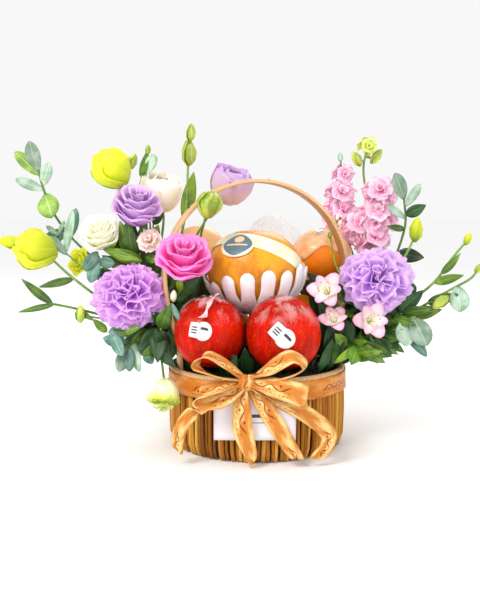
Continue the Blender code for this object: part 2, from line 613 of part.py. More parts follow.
# Each spray is one cut stem: the greenery it stands in, the stem's points from the bloom
# down, its flower heads (kind, place, facing, diameter) and its leaves (base, tip, width).
SPRAYS = {
    "carnation_left": ("left", "lilac", [],
                       [("carnation", (-144, -38, 170), (-0.25, -0.9, 0.3), 82)], []),
    "rose_pink": ("left", "pink", [(-78, -34, 192), (-86, -6, 174)],
                  [("rose", (-77, -63, 214), (0.05, -0.6, 0.8), 60)], []),
    "rose_lavender": ("left", "lilac", [(-127, 0, 230), (-122, 18, 195)],
                      [("rose", (-130, -20, 268), (0.15, -0.5, 0.85), 56)], []),
    "lisianthus_white": ("left", "cream", [(-106, 26, 250), (-112, 32, 205)],
                         [("furled", (-110, 32, 281), (0.2, -0.3, 0.9), 48)], []),
    "rose_cream": ("left", "cream", [(-160, 6, 208), (-142, 18, 178)],
                   [("rose", (-174, -15, 237), (-0.2, -0.7, 0.7), 47)], []),
    "lisianthus_yellow_top": ("left", "yellow", [(-148, 2, 280), (-136, 20, 215)],
                              [("furled", (-161, -5, 304), (-0.6, -0.25, 0.75), 43),
                               ("bud", (-138, -2, 311), (0.4, -0.3, 0.6), 11)], []),
    "lisianthus_yellow_left": ("left", "yellow",
                               [(-220, -26, 203), (-199, -26, 184), (-168, -4, 156)],
                               [("furled", (-241, -30, 216), (-0.85, -0.35, 0.3), 44),
                                ("bud", (-270, -12, 223), (-1, -0.1, 0.12), 15)],
                               [((-199, -26, 184), (-235, -36, 176), 9)]),
    "lisianthus_yellow_mid": ("left", "yellow", [(-184, 18, 186), (-150, 28, 160)],
                              [("lisianthus", (-200, 6, 201), (-0.5, -0.6, 0.2), 28)], []),
    "lisianthus_green_hanging": ("left", "cream", [(-104, -46, 106), (-110, -16, 122)],
                                 [("lisianthus", (-98, -74, 64), (-0.05, -0.4, -0.9), 35)], []),
    "bud_green_upper": ("left", "leaf", [(-60, -28, 236), (-68, -8, 208), (-90, 10, 176)],
                        [("furled", (-51, -40, 265), (0.3, -0.1, 0.9), 27)], []),
    "lisianthus_lilac": ("left", "lilac", [(-52, 32, 256), (-84, 34, 205), (-104, 36, 178)],
                         [("lisianthus", (-29, 35, 289), (0.3, -0.3, 0.9), 47)], []),
    "bud_tall": ("left", "leaf", [(-77, 8, 300), (-80, 10, 255), (-96, 22, 185)],
                 [("bud", (-76, 8, 322), (0, 0, 1), 16), ("bud", (-73, 2, 343), (0.1, -0.1, 1), 10)],
                 [((-79, 10, 246), (-70, 4, 300), 16)]),
    "carnation_blush": ("left", "blush", [(-112, -4, 204), (-110, 12, 180)],
                        [("pompon", (-118, -24, 227), (-0.2, -0.8, 0.4), 30)], []),
    "eucalyptus_top_left": ("left", "sage", [
        (-241, 0, 303), (-236, 0, 282), (-227, 4, 256), (-207, 14, 225), (-177, 24, 195), (-145, 30, 162)],
        [], [((-241, 0, 300), (-249, -4, 333), 16), ((-240, 0, 296), (-267, 4, 322), 12),
             ((-237, 0, 284), (-227, -6, 310), 13), ((-236, 0, 280), (-266, 0, 292), 12),
             ((-234, 0, 276), (-224, -12, 250), 24), ((-214, 10, 234), (-236, 0, 224), 16),
             ((-209, 12, 228), (-200, 0, 260), 13)]),
    "lance_leaves_left": ("left", "leaf", [(-228, -22, 157), (-200, -14, 150), (-158, 8, 136)],
                          [], [((-224, -20, 156), (-256, -26, 184), 10),
                               ((-222, -20, 156), (-262, -22, 147), 7),
                               ((-200, -14, 150), (-178, -26, 138), 7)]),
    "eucalyptus_low_left": ("left", "sage", [(-147, -26, 108), (-130, 2, 116)],
                            [], [((-144, -21, 109), (-150, -38, 84), 15),
                                 ((-138, -11, 112), (-128, -38, 84), 12),
                                 ((-141, -16, 110), (-168, -30, 120), 14),
                                 ((-134, -4, 114), (-114, -32, 96), 13)]),
    "leaves_front_left": ("left", "leaf", [(-104, -38, 130), (-110, -8, 134)],
                          [], [((-104, -36, 131), (-106, -58, 98), 20),
                               ((-105, -34, 131), (-92, -58, 160), 17),
                               ((-105, -32, 131), (-128, -46, 108), 18)]),
    "stock_pink_left": ("right", "pink", [
        (103, 90, 278), (103, 94, 256), (110, 105, 233), (119, 92, 205), (128, 68, 172)],
        [("floret", (106, 98, 303), (0, -0.3, 1), 28), ("floret", (103, 96, 280), (0, -0.3, 1), 38),
         ("floret", (104, 101, 256), (-0.2, -0.4, 1), 46), ("floret", (111, 112, 234), (0.2, -0.4, 1), 48)],
        []),
    "stock_pink_right": ("right", "pink", [(144, 54, 252), (139, 58, 226), (130, 46, 180)],
                         [("floret", (146, 58, 280), (0.2, -0.5, 0.8), 44),
                          ("floret", (143, 58, 252), (0.2, -0.6, 0.8), 50),
                          ("floret", (137, 62, 226), (0, -0.6, 0.8), 44)], []),
    "stock_green": ("right", "leaf", [(133, 106, 302), (144, 122, 250), (138, 92, 176)],
                    [("floret", (136, 98, 337), (0.2, -0.2, 1), 25),
                     ("bud", (147, 98, 323), (0.6, -0.2, 0.8), 11),
                     ("bud", (123, 98, 320), (-0.5, -0.2, 0.8), 11)], []),
    "carnation_right": ("right", "lilac", [],
                        [("carnation", (133, -26, 187), (0.12, -0.9, 0.35), 82)], []),
    "alstroemeria_upper": ("right", "blush", [(88, -14, 152), (104, 4, 144)],
                           [("lily", (72, -48, 174), (-0.3, -0.85, 0.4), 42)], []),
    "alstroemeria_middle": ("right", "blush", [(98, -26, 126), (108, -4, 130)],
                            [("lily", (81, -46, 143), (-0.1, -0.7, 0.7), 35)], []),
    "alstroemeria_lower": ("right", "blush", [(126, -26, 128), (126, -10, 130)],
                           [("lily", (119, -60, 143), (0.1, -0.95, 0.2), 42)], []),
    "bud_yellow_right": ("right", "yellow", [(172, 24, 210), (148, 30, 164)],
                         [("bud", (181, 20, 236), (0.1, 0, 1), 15)], []),
    "buds_upper_right": ("right", "leaf", [(222, 12, 206), (200, 12, 176), (166, 22, 146)],
                         [("bud", (237, 10, 226), (0.4, 0, 1), 8)],
                         [((208, 12, 186), (228, 6, 210), 9), ((200, 12, 176), (231, 0, 186), 11)]),
    "buds_far_right": ("right", "leaf", [(236, -6, 182), (210, -8, 168), (164, 10, 136)],
                       [("bud", (247, -2, 194), (0.6, 0, 0.8), 7),
                        ("bud", (200, -22, 158), (-0.8, -0.3, -0.5), 12)],
                       [((190, -2, 154), (222, -14, 166), 14), ((172, 6, 142), (206, -6, 148), 16),
                        ((222, -8, 175), (224, -14, 146), 22)]),
    "eucalyptus_top_right": ("right", "sage", [
        (169, 34, 272), (171, 34, 240), (158, 34, 198), (142, 34, 168)],
        [], [((169, 34, 270), (157, 28, 300), 16), ((170, 34, 262), (187, 34, 288), 11),
             ((171, 34, 252), (193, 28, 264), 14), ((171, 34, 248), (150, 40, 264), 9),
             ((171, 34, 236), (148, 22, 240), 8), ((162, 34, 208), (192, 26, 204), 17)]),
    "eucalyptus_low_right": ("right", "sage", [(172, -26, 142), (152, -6, 133)],
                             [], [((170, -24, 142), (184, -34, 112), 24),
                                  ((160, -16, 138), (160, -38, 112), 20),
                                  ((156, -12, 136), (184, -34, 100), 13)]),
    "leaves_front_right": ("right", "leaf", [(108, -40, 112), (116, -6, 122)],
                           [], [((108, -40, 112), (98, -60, 96), 17), ((109, -38, 113), (134, -60, 98), 16),
                                ((110, -34, 114), (144, -44, 102), 16), ((108, -40, 112), (80, -62, 98), 9)]),
    "foliage_rear_left": ("left", "leaf", [(-128, 96, 176), (-124, 76, 161)],
                          [], [((-128, 94, 175), (-140, 112, 214), 17),
                               ((-126, 86, 168), (-164, 96, 186), 18),
                               ((-125, 80, 164), (-98, 108, 190), 17),
                               ((-124, 74, 160), (-150, 98, 142), 18),
                               ((-123, 72, 158), (-108, 102, 132), 17)]),
    "foliage_rear_right": ("right", "leaf", [(134, 98, 164), (132, 78, 156)],
                           [], [((134, 96, 164), (150, 118, 192), 17), ((132, 88, 158), (172, 98, 168), 18),
                                ((132, 84, 156), (102, 112, 166), 17), ((131, 78, 154), (158, 98, 130), 18),
                                ((131, 75, 152), (112, 104, 122), 17)]),
}


def stem_foot(core, towards):
    """Where a stem meets a green core: the point on its surface on the way from towards."""
    ray = towards - core
    scaled = Vector(r / s for r, s in zip(ray, GREENERY_RADII))
    return core + ray * (1 / scaled.length) + ray.normalized() * 0.8 * MM


def nearest(path, place):
    """The nearest point of a path to a place."""
    best = None
    for start, end in zip(path, path[1:]):
        point, share = intersect_point_line(place, start, end)
        point = start if share < 0 else end if share > 1 else point
        if best is None or (point - place).length < (best - place).length:
            best = point
    return best


def make_spray(name, others, finishes):
    """One cut stem with its flower heads and leaves, leaving out leaves that would cross others."""
    side, colour, line, heads, leaves = SPRAYS[name]
    material = finishes[colour]
    tops = []
    for kind, place, direction, diameter in heads:
        radius = diameter * MM / 2
        tops.append(mm(place) - Vector(direction).normalized() * STEM_TOP * radius)
    path = [*tops[:1], *(mm(p) for p in line)]
    path.append(stem_foot(GREENERY["greenery_" + side], path[-1]))
    pieces = [add("stem", tube(path, STEM_RADIUS), material)]
    for top, (kind, place, direction, diameter) in zip(tops, heads):
        pieces.append(bloom(kind, mm(place), direction, diameter * MM / 2, material))
        fork = nearest(path, top)
        if (fork - top).length > STEM_RADIUS:
            pieces.append(add("branch", tube([fork, top], STEM_RADIUS * 0.8), material))
    for base, tip, width in leaves:
        fork = nearest(path, mm(base))
        roundness = 0.6 if colour == "sage" else 0.35
        thing = add("leaf", leaf(fork, mm(tip), width * MM, roundness=roundness), material)
        if is_clear(thing, others):
            pieces.append(thing)
        else:
            print("left out a leaf of", name, tip)
            bpy.data.objects.remove(thing)
    return join(name, pieces, solver=SPRAY_SOLVER)


def make_greenery(name, others, material):
    """A green core with leaves all round it, whose neck stands in the basket's packing."""
    core = GREENERY[name]
    ball = ellipsoid(name, core, GREENERY_RADII, 12, range(30, 180, 30), material)
    neck = add("neck", tube([mm(p) for p in NECKS[name]], NECK_RADIUS, sides=8), material)
    body = join(name, [ball, neck])
    own = tree(body)
    draw = random.Random(SEED)
    pieces = [body]
    tries = 4 * GREENERY_LEAVES
    for i in range(tries):
        height = 0.9 - 1.8 * (i * GREENERY_LEAVES % tries + 0.5) / tries
        turn = GOLDEN_ANGLE * i
        reach = math.sqrt(1 - height * height)
        out = Vector((math.cos(turn) * reach, math.sin(turn) * reach, height))
        surface = core + Vector(o * r for o, r in zip(out, GREENERY_RADII))
        lean = Vector((draw.uniform(-1, 1), draw.uniform(-1, 1), draw.uniform(-0.6, 0.9)))
        tip = surface + (out + 0.8 * lean).normalized() * draw.uniform(20, 32) * MM
        width = draw.uniform(13, 18) * MM
        thing = add("leaf", leaf(surface - out * 3 * MM, tip, width, hint=out + 0.2 * lean), material)
        if len(pieces) <= GREENERY_LEAVES and is_clear(thing, others) and tree(thing).overlap(own):
            pieces.append(thing)
        else:
            bpy.data.objects.remove(thing)
    print(name, "has", len(pieces) - 1, "leaves")
    return join(name, pieces, solver=SPRAY_SOLVER)


clear_scene()

STRAW = finish("straw_reed", (0.62, 0.36, 0.11), 0.75)
WOOD = finish("bent_wood", (0.78, 0.52, 0.27), 0.6)
DARK = finish("dark_packing", (0.02, 0.03, 0.02), 0.8)
APPLE = finish("red_apple_skin", (0.62, 0.02, 0.02), 0.3)
GOLDEN = finish("golden_pear_skin", (0.75, 0.38, 0.06), 0.5)
ORANGE = finish("orange_peel", (0.9, 0.3, 0.03), 0.45)
FOAM = finish("white_foam", (0.85, 0.8, 0.82), 0.8)
SATIN = finish("orange_satin", (0.85, 0.4, 0.08), 0.35)
PAPER = finish("white_paper", (0.86, 0.82, 0.84), 0.6)
LABEL = finish("grey_label", (0.25, 0.3, 0.36), 0.4)
FILM = finish("clear_wrap", (0.9, 0.9, 0.92), 0.2)
GREEN = finish("green_leaf", (0.1, 0.28, 0.03), 0.5)
FINISHES = {
    "leaf": GREEN,
    "sage": finish("sage_leaf", (0.42, 0.6, 0.5), 0.6),
    "lilac": finish("lilac_petal", (0.62, 0.38, 0.8), 0.6),
    "pink": finish("pink_petal", (0.9, 0.3, 0.6), 0.6),
    "blush": finish("blush_petal", (0.92, 0.68, 0.74), 0.6),
    "cream": finish("cream_petal", (0.93, 0.92, 0.7), 0.6),
    "yellow": finish("yellow_petal", (0.85, 0.85, 0.03), 0.6),
}

made = [make_basket(STRAW), make_filling(DARK), make_handle(WOOD)]
apple_left = make_fruit("apple_left", APPLE_LEFT, APPLE_LEFT_RADIUS, axis=(0.1, 0.35, 0.95),
                        material=APPLE, **APPLE_SHAPE)
apple_right = make_fruit("apple_right", APPLE_RIGHT, APPLE_RIGHT_RADIUS, axis=(-0.15, 0.3, 0.95),
                         material=APPLE, **APPLE_SHAPE)
pear = make_pear(GOLDEN)
made += [apple_left, apple_right, pear, make_foam_cup(FOAM)]
for name, (centre, radius) in ORANGES.items():
    steps = 6 if "low" in name else 8
    made.append(make_fruit(name, centre, radius, axis=ORANGE_AXIS, material=ORANGE, sides=12,
                           steps=steps, **ORANGE_SHAPE))
made.append(label_on("label_apple_left", apple_left, APPLE_LEFT, (-0.22, -0.95, 0.2),
                     oval(22 * MM, 16 * MM), PAPER))
made.append(label_on("label_apple_right", apple_right, APPLE_RIGHT, (-0.07, -0.98, 0.1),
                     oval(17 * MM, 24 * MM), PAPER))
made.append(label_on("label_pear", pear, PEAR, (-0.37, -0.71, 0.59), oval(42 * MM, 35 * MM), LABEL))
cutters = [cutter(centre, Vector((radius, radius, radius))) for centre, radius in ORANGES.values()]
cup_size = Vector((PEAR_RADIUS, PEAR_RADIUS, PEAR_HALF_HEIGHT))
cup_size += Vector((1, 1, 1)) * (CUP_GAP + CUP_THICKNESS)
cutters.append(cutter(PEAR, cup_size))
made.append(make_film_wrap(FILM, cutters))
made += [make_band(SATIN), make_bow(SATIN), make_card(PAPER)]
blocked = [tree(thing) for thing in made]
for name in SPRAYS:
    thing = make_spray(name, blocked, FINISHES)
    made.append(thing)
    blocked.append(tree(thing))
for name in GREENERY:
    made.append(make_greenery(name, blocked, GREEN))
    blocked.append(tree(made[-1]))
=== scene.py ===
# %% [markdown]
# A fruit gift basket: a round basket of upright reeds with a bent strip handle, two red apples,
# a golden pear in a foam cup and oranges, with cut flowers and foliage at both sides and a satin
# bow in front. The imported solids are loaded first. They hold every place and size, and what
# follows dresses them with petals, leaves, reeds and ribbon.

# %% Load the frame
import json
import math
import random

import bpy
from mathutils import Matrix, Vector
from mathutils.geometry import intersect_point_line

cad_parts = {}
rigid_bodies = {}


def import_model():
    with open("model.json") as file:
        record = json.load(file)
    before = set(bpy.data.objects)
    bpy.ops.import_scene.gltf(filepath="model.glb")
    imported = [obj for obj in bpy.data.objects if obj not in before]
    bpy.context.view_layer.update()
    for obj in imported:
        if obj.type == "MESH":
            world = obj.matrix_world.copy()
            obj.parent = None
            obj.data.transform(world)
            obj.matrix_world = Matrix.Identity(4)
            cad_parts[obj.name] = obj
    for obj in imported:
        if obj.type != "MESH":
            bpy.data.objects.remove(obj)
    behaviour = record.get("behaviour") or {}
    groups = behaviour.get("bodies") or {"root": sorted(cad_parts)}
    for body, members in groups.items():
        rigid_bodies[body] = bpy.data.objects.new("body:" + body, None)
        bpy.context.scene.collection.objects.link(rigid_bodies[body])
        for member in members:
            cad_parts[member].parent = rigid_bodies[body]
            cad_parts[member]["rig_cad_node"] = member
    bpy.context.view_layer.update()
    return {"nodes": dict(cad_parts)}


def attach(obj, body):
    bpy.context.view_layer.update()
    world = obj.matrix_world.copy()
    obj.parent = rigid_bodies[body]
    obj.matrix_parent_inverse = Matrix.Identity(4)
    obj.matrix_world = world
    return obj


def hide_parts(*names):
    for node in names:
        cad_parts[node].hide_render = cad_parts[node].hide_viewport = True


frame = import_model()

MM = 0.001
UP = Vector((0, 0, 1))
FRONT = Vector((0, -1, 0))


def mm(point):
    """A point written in millimetres."""
    return Vector(point) * MM


# %% [markdown]
# The camera stands 0.9 m in front and a little above, as the photograph was taken, with a lens
# that gives the same crop. The light is soft: a large lamp from the upper left, a weaker one at
# the right, one from behind for the petals' edges, and a pale world. The floor is plain.

# %% Camera, floor and light
scene = bpy.context.scene
camera = bpy.data.objects.new("camera", bpy.data.cameras.new("camera"))
scene.collection.objects.link(camera)
scene.camera = camera
EYE, LOOKED_AT = Vector((-0.019, -0.9, 0.26)), Vector((-0.019, 0, 0.158))
LENS = 48.5
camera.location = EYE
camera.rotation_euler = (LOOKED_AT - EYE).to_track_quat("-Z", "Y").to_euler()
camera.data.lens = LENS
camera.data.clip_start, camera.data.clip_end = 0.01, 20
scene.view_settings.view_transform = "Standard"


def lamp(name, place, aim, size, watts, colour=(1, 1, 1)):
    """A square soft lamp that faces a point."""
    bpy.ops.object.light_add(type="AREA", location=place)
    light = bpy.context.object
    light.name = name
    light.data.size = size
    light.data.energy = watts
    light.data.color = colour
    light.rotation_euler = (Vector(aim) - Vector(place)).to_track_quat("-Z", "Y").to_euler()


lamp("key", (-0.8, -1.0, 1.3), (0, 0, 0.15), 0.6, 15, (1, 0.98, 0.95))
lamp("fill", (1.2, -1.1, 0.6), (0, 0, 0.15), 1.0, 3)
lamp("back", (0.4, 1.3, 1.2), (0, 0, 0.2), 0.8, 8)
world = bpy.data.worlds.new("pale")
world.use_nodes = True
background = world.node_tree.nodes["Background"]
background.inputs["Color"].default_value = (1, 1, 1, 1)
background.inputs["Strength"].default_value = 0.94
scene.world = world
FLOOR_SIZE, FLOOR_HEIGHT = 60, -0.5 * MM
bpy.ops.mesh.primitive_plane_add(size=FLOOR_SIZE, location=(0, 0, FLOOR_HEIGHT))
floor = bpy.context.object
floor.name = "floor"

# %% [markdown]
# Short helpers for materials. `node` adds a shader node and fills its sockets with values or
# links, and the others are the mixes, ramps and sums that every finish needs. A finish is one
# Principled BSDF with its own roughness and gloss.

# %% Node helpers


def node(tree, kind, inputs, **settings):
    """Adds a shader node, sets it and fills its inputs with values or links."""
    made = tree.nodes.new("ShaderNode" + kind)
    for key, value in settings.items():
        setattr(made, key, value)
    for key, value in inputs.items():
        if isinstance(value, bpy.types.NodeSocket):
            tree.links.new(value, made.inputs[key])
        else:
            made.inputs[key].default_value = value
    return made


def rgb(*colour):
    """A colour socket's value."""
    return (*colour, 1)


def mix(tree, factor, first, second, kind="MIX"):
    """A mix of two colours."""
    sockets = {0: factor, 6: first, 7: second}
    return node(tree, "Mix", sockets, data_type="RGBA", blend_type=kind).outputs[2]


def calc(tree, operation, *values):
    """One step of arithmetic."""
    return node(tree, "Math", dict(enumerate(values)), operation=operation).outputs[0]


def within(tree, value, middle, half):
    """1 where a value is nearer than half to the middle, 0 elsewhere."""
    return calc(tree, "LESS_THAN", calc(tree, "ABSOLUTE", calc(tree, "SUBTRACT", value, middle)), half)


def ramp(tree, factor, *stops):
    """A colour ramp through (place, colour) stops."""
    made = node(tree, "ValToRGB", {0: factor})
    elements = made.color_ramp.elements
    while len(elements) < len(stops):
        elements.new(0.5)
    for element, (place, colour) in zip(elements, stops):
        element.position = place
        element.color = rgb(*colour)
    return made.outputs[0]


def new_finish(name, **sockets):
    """An empty finish with the plain values of its shader set."""
    made = bpy.data.materials.new(name)
    made.use_nodes = True
    shader = made.node_tree.nodes["Principled BSDF"]
    for key, value in sockets.items():
        shader.inputs[key.replace("_", " ")].default_value = value
    return made, made.node_tree, shader


def object_place(tree, scale=(1, 1, 1), shift=(0, 0, 0)):
    """Object coordinates, stretched and shifted."""
    place = node(tree, "TexCoord", {}).outputs["Object"]
    return node(tree, "Mapping", {"Vector": place, "Scale": scale, "Location": shift}).outputs[0]


def own_uv(tree, scale=(1, 1, 1), shift=(0, 0, 0)):
    """The piece's own UV map, stretched and shifted."""
    uv = node(tree, "UVMap", {}, uv_map="UVMap").outputs[0]
    return node(tree, "Mapping", {"Vector": uv, "Scale": scale, "Location": shift}).outputs[0]


def own_tone(tree):
    """The piece's tone attribute."""
    return node(tree, "Attribute", {}, attribute_name="tone").outputs["Fac"]


def paint(tree, shader, colour):
    """Gives the shader its colour."""
    tree.links.new(colour, shader.inputs["Base Color"])


def bump(tree, shader, height, strength, distance):
    """Lets a height push the surface's normal."""
    made = node(tree, "Bump", {"Height": height, "Strength": strength, "Distance": distance})
    tree.links.new(made.outputs[0], shader.inputs["Normal"])


# %% [markdown]
# Three effects come back in many finishes, so each is a node group: soft blotches for ripeness
# and light, small specks for the pores of fruit, and fine streaks for reeds, wood, petals' veins
# and satin threads. Each gives one mask that changes over the surface.

# %% Node groups


def group(name, numbers):
    """An empty node group with a vector input, number inputs and a mask output."""
    made = bpy.data.node_groups.new(name, "ShaderNodeTree")
    made.interface.new_socket("Vector", in_out="INPUT", socket_type="NodeSocketVector")
    for label, value in numbers.items():
        socket = made.interface.new_socket(label, in_out="INPUT", socket_type="NodeSocketFloat")
        socket.default_value = value
    made.interface.new_socket("Mask", in_out="OUTPUT", socket_type="NodeSocketFloat")
    return made, made.nodes.new("NodeGroupInput").outputs, made.nodes.new("NodeGroupOutput")


blotches, entry, leave = group("blotches", {"Scale": 40.0, "Low": 0.4, "High": 0.6})
noise = node(blotches, "TexNoise", {"Vector": entry["Vector"], "Scale": entry["Scale"], "Detail": 4.0})
spread = node(blotches, "MapRange", {"Value": noise.outputs[0], "From Min": entry["Low"],
                                     "From Max": entry["High"]}, interpolation_type="SMOOTHSTEP")
blotches.links.new(spread.outputs[0], leave.inputs["Mask"])

specks, entry, leave = group("specks", {"Scale": 400.0, "Size": 0.25})
cells = node(specks, "TexVoronoi", {"Vector": entry["Vector"], "Scale": entry["Scale"]})
dots = node(specks, "MapRange", {"Value": cells.outputs["Distance"], "From Min": entry["Size"],
                                 "From Max": 0.0}, interpolation_type="SMOOTHSTEP")
specks.links.new(dots.outputs[0], leave.inputs["Mask"])

streaks, entry, leave = group("streaks", {"Scale": 60.0, "Blur": 0.3})
lines = node(streaks, "TexNoise", {"Vector": entry["Vector"], "Scale": entry["Scale"], "Detail": 3.0,
                                   "Roughness": 0.6})
low = calc(streaks, "SUBTRACT", 0.5, entry["Blur"])
high = calc(streaks, "ADD", 0.5, entry["Blur"])
soft = node(streaks, "MapRange", {"Value": lines.outputs[0], "From Min": low, "From Max": high})
streaks.links.new(soft.outputs[0], leave.inputs["Mask"])


def use(tree, shared, **inputs):
    """Places a shared group and gives its mask."""
    return node(tree, "Group", inputs, node_tree=shared).outputs["Mask"]


def blotched(tree, scale, first, second, **inputs):
    """Soft blotches of two colours over the object."""
    mask = use(tree, blotches, Vector=object_place(tree), Scale=scale, **inputs)
    return mix(tree, mask, rgb(*first), rgb(*second))


print("groups", [made.name for made in bpy.data.node_groups])

# %% [markdown]
# The plant finishes follow the piece's own UV map: V runs from a petal's or leaf's foot to its
# tip and U across it. A point attribute called tone makes each one a little lighter or darker
# than its neighbour, as no two are alike.

# %% Finishes for petals and leaves


def along_and_across(tree):
    """V, and U measured from the middle, of the piece's own UV map."""
    parts = node(tree, "SeparateXYZ", {0: own_uv(tree)})
    return parts.outputs[1], calc(tree, "ABSOLUTE", calc(tree, "SUBTRACT", parts.outputs[0], 0.5))


def toned(tree, colour, amount):
    """A colour made lighter or darker by the piece's tone."""
    grey = calc(tree, "MULTIPLY_ADD", own_tone(tree), amount, 1 - amount / 2)
    shade = node(tree, "CombineColor", {0: grey, 1: grey, 2: grey}).outputs[0]
    return mix(tree, 1.0, colour, shade, "MULTIPLY")


def petal_finish(name, foot, middle, rim, edge=None, lift=0.1):
    """Petals: foot, middle and rim colours, fine veins, and a little painted glow of their own.

    Light that shines through thin petals is not traced here, and lift, the strength of this painted glow,
    stands for it and lifts the petals' shade."""
    made, tree, shader = new_finish(name, Roughness=0.55, Subsurface_Weight=0.08, Subsurface_Scale=0.003,
                                    Sheen_Weight=0.08, Emission_Strength=lift)
    length, side = along_and_across(tree)
    colour = ramp(tree, length, (0.05, foot), (0.5, middle), (0.97, rim))
    veins = use(tree, streaks, Vector=own_uv(tree, (26, 1.2, 1)), Scale=1.0, Blur=0.25)
    colour = mix(tree, calc(tree, "MULTIPLY", veins, 0.28), colour, rgb(*foot))
    if edge:
        thin = node(tree, "MapRange", {"Value": side, "From Min": 0.36, "From Max": 0.5}).outputs[0]
        colour = mix(tree, calc(tree, "MULTIPLY", thin, 0.7), colour, rgb(*edge))
    colour = toned(tree, colour, 0.3)
    paint(tree, shader, colour)
    # Painted glow: the petals give off light in their own colour.
    tree.links.new(colour, shader.inputs["Emission Color"])
    bump(tree, shader, veins, 0.25, 0.0004)
    return made


def leaf_finish(name, dark, light, vein, roughness):
    """Leaves: blotches of two greens, a pale midrib and side veins."""
    made, tree, shader = new_finish(name, Roughness=roughness, Subsurface_Weight=0.06,
                                    Subsurface_Scale=0.003)
    length, side = along_and_across(tree)
    colour = blotched(tree, 70.0, dark, light, Low=0.35, High=0.65)
    slant = calc(tree, "MULTIPLY_ADD", side, -0.9, length)
    ribs = calc(tree, "SINE", calc(tree, "MULTIPLY", slant, 48.0))
    ribs = node(tree, "MapRange", {"Value": ribs, "From Min": 0.8, "From Max": 1.0}).outputs[0]
    midrib = node(tree, "MapRange", {"Value": side, "From Min": 0.045, "From Max": 0.015}).outputs[0]
    mask = calc(tree, "MAXIMUM", calc(tree, "MULTIPLY", ribs, 0.35), midrib)
    colour = mix(tree, calc(tree, "MULTIPLY", mask, 0.8), colour, rgb(*vein))
    paint(tree, shader, toned(tree, colour, 0.7))
    bump(tree, shader, mask, 0.35, 0.0005)
    return made


# Petals: foot, middle and rim colours, then what differs from the rule
PETAL_COLOURS = {
    "lilac": ((0.4, 0.07, 0.6), (0.58, 0.2, 0.72), (0.82, 0.48, 0.88)),
    "violet": ((0.36, 0.09, 0.6), (0.54, 0.24, 0.75), (0.8, 0.54, 0.88)),
    "lavender": ((0.29, 0.08, 0.44), (0.48, 0.22, 0.63), (0.76, 0.52, 0.8)),
    "pink": ((0.6, 0.006, 0.24), (0.92, 0.07, 0.46), (0.98, 0.3, 0.7)),
    "cream": ((0.84, 0.84, 0.44), (0.92, 0.92, 0.68), (0.94, 0.94, 0.84)),
    "peach_white": ((0.86, 0.58, 0.32), (0.95, 0.88, 0.74), (0.95, 0.93, 0.86)),
    "yellow": ((0.22, 0.38, 0.01), (0.62, 0.68, 0.005), (0.86, 0.84, 0.02)),
    "lime": ((0.3, 0.42, 0.02), (0.6, 0.74, 0.05), (0.88, 0.93, 0.35)),
    "mauve": ((0.55, 0.36, 0.12), (0.76, 0.54, 0.64), (0.62, 0.42, 0.82)),
    "blush": ((0.8, 0.42, 0.25), (0.92, 0.66, 0.58), (0.96, 0.84, 0.8)),
    "lily": ((0.66, 0.74, 0.22), (0.95, 0.84, 0.86), (0.93, 0.36, 0.64)),
    "lime_cream": ((0.4, 0.55, 0.06), (0.93, 0.94, 0.68), (0.6, 0.72, 0.04)),
    "stock": ((0.84, 0.22, 0.48), (0.92, 0.46, 0.66), (0.95, 0.68, 0.8)),
}
# lift: the strength of a colour's painted glow
PETAL_SETTINGS = {"cream": {"lift": 0.12}, "peach_white": {"lift": 0.09},
                  "lily": {"edge": (0.94, 0.62, 0.78)}}
# Leaves: the darker and lighter green and the veins' colour, then the roughness
LEAF_COLOURS = {
    "green": ((0.035, 0.11, 0.008), (0.1, 0.24, 0.015), (0.24, 0.38, 0.08), 0.45),
    "bright": ((0.08, 0.2, 0.008), (0.25, 0.43, 0.02), (0.34, 0.5, 0.1), 0.45),
    # dark: a near-black green, also used for leaves that fill shadowed gaps as painted shade
    "dark": ((0.008, 0.045, 0.01), (0.025, 0.1, 0.018), (0.08, 0.18, 0.05), 0.45),
    "sage": ((0.2, 0.36, 0.22), (0.46, 0.62, 0.5), (0.6, 0.72, 0.58), 0.6),
    "olive": ((0.1, 0.22, 0.02), (0.26, 0.42, 0.06), (0.42, 0.56, 0.2), 0.5),
    "teal": ((0.06, 0.17, 0.13), (0.16, 0.32, 0.25), (0.33, 0.48, 0.38), 0.55),
    "bud": ((0.28, 0.4, 0.03), (0.55, 0.64, 0.08), (0.66, 0.74, 0.26), 0.45),
    "stem": ((0.1, 0.22, 0.03), (0.2, 0.36, 0.06), (0.2, 0.35, 0.08), 0.45),
}
FINISH = {name: petal_finish(name + "_petal", *colours, **PETAL_SETTINGS.get(name, {}))
          for name, colours in PETAL_COLOURS.items()}
for name, (dark, light, vein, roughness) in LEAF_COLOURS.items():
    ending = "_skin" if name in ("bud", "stem") else "_leaf"
    FINISH[name] = leaf_finish(name + ending, dark, light, vein, roughness)
print("plant finishes", len(FINISH))

# %% [markdown]
# Modelling helpers. A petal, a leaf or a stretch of ribbon starts as a primitive grid, whose
# points are then moved by a rule, and gets its thickness from a Solidify modifier. What repeats
# is copied with its own mesh, and the copies are joined into one piece with bpy.ops.

# %% Modelling helpers


def alone(*pieces):
    """Selects only these pieces."""
    bpy.ops.object.select_all(action="DESELECT")
    for piece in pieces:
        piece.select_set(True)
    bpy.context.view_layer.objects.active = pieces[0]


def modify(piece, kind, **settings):
    """Adds a modifier and applies it."""
    alone(piece)
    modifier = piece.modifiers.new(kind.lower(), kind)
    for key, value in settings.items():
        setattr(modifier, key, value)
    bpy.ops.object.modifier_apply(modifier=modifier.name)


def grid(across, along):
    """A flat grid, from -1 to 1 each way, with its UV map: the start of a petal, leaf or ribbon.

    It is only copied from, so it is hidden from renders, and it is removed at the end."""
    alone(camera)
    bpy.ops.mesh.primitive_grid_add(x_subdivisions=across, y_subdivisions=along, size=2)
    made = bpy.context.object
    made.hide_render = True
    return made


def copy_of(model):
    """A copy of a hidden model, with its own mesh."""
    twin = model.copy()
    twin.data = model.data.copy()
    twin.hide_render = False
    scene.collection.objects.link(twin)
    return twin


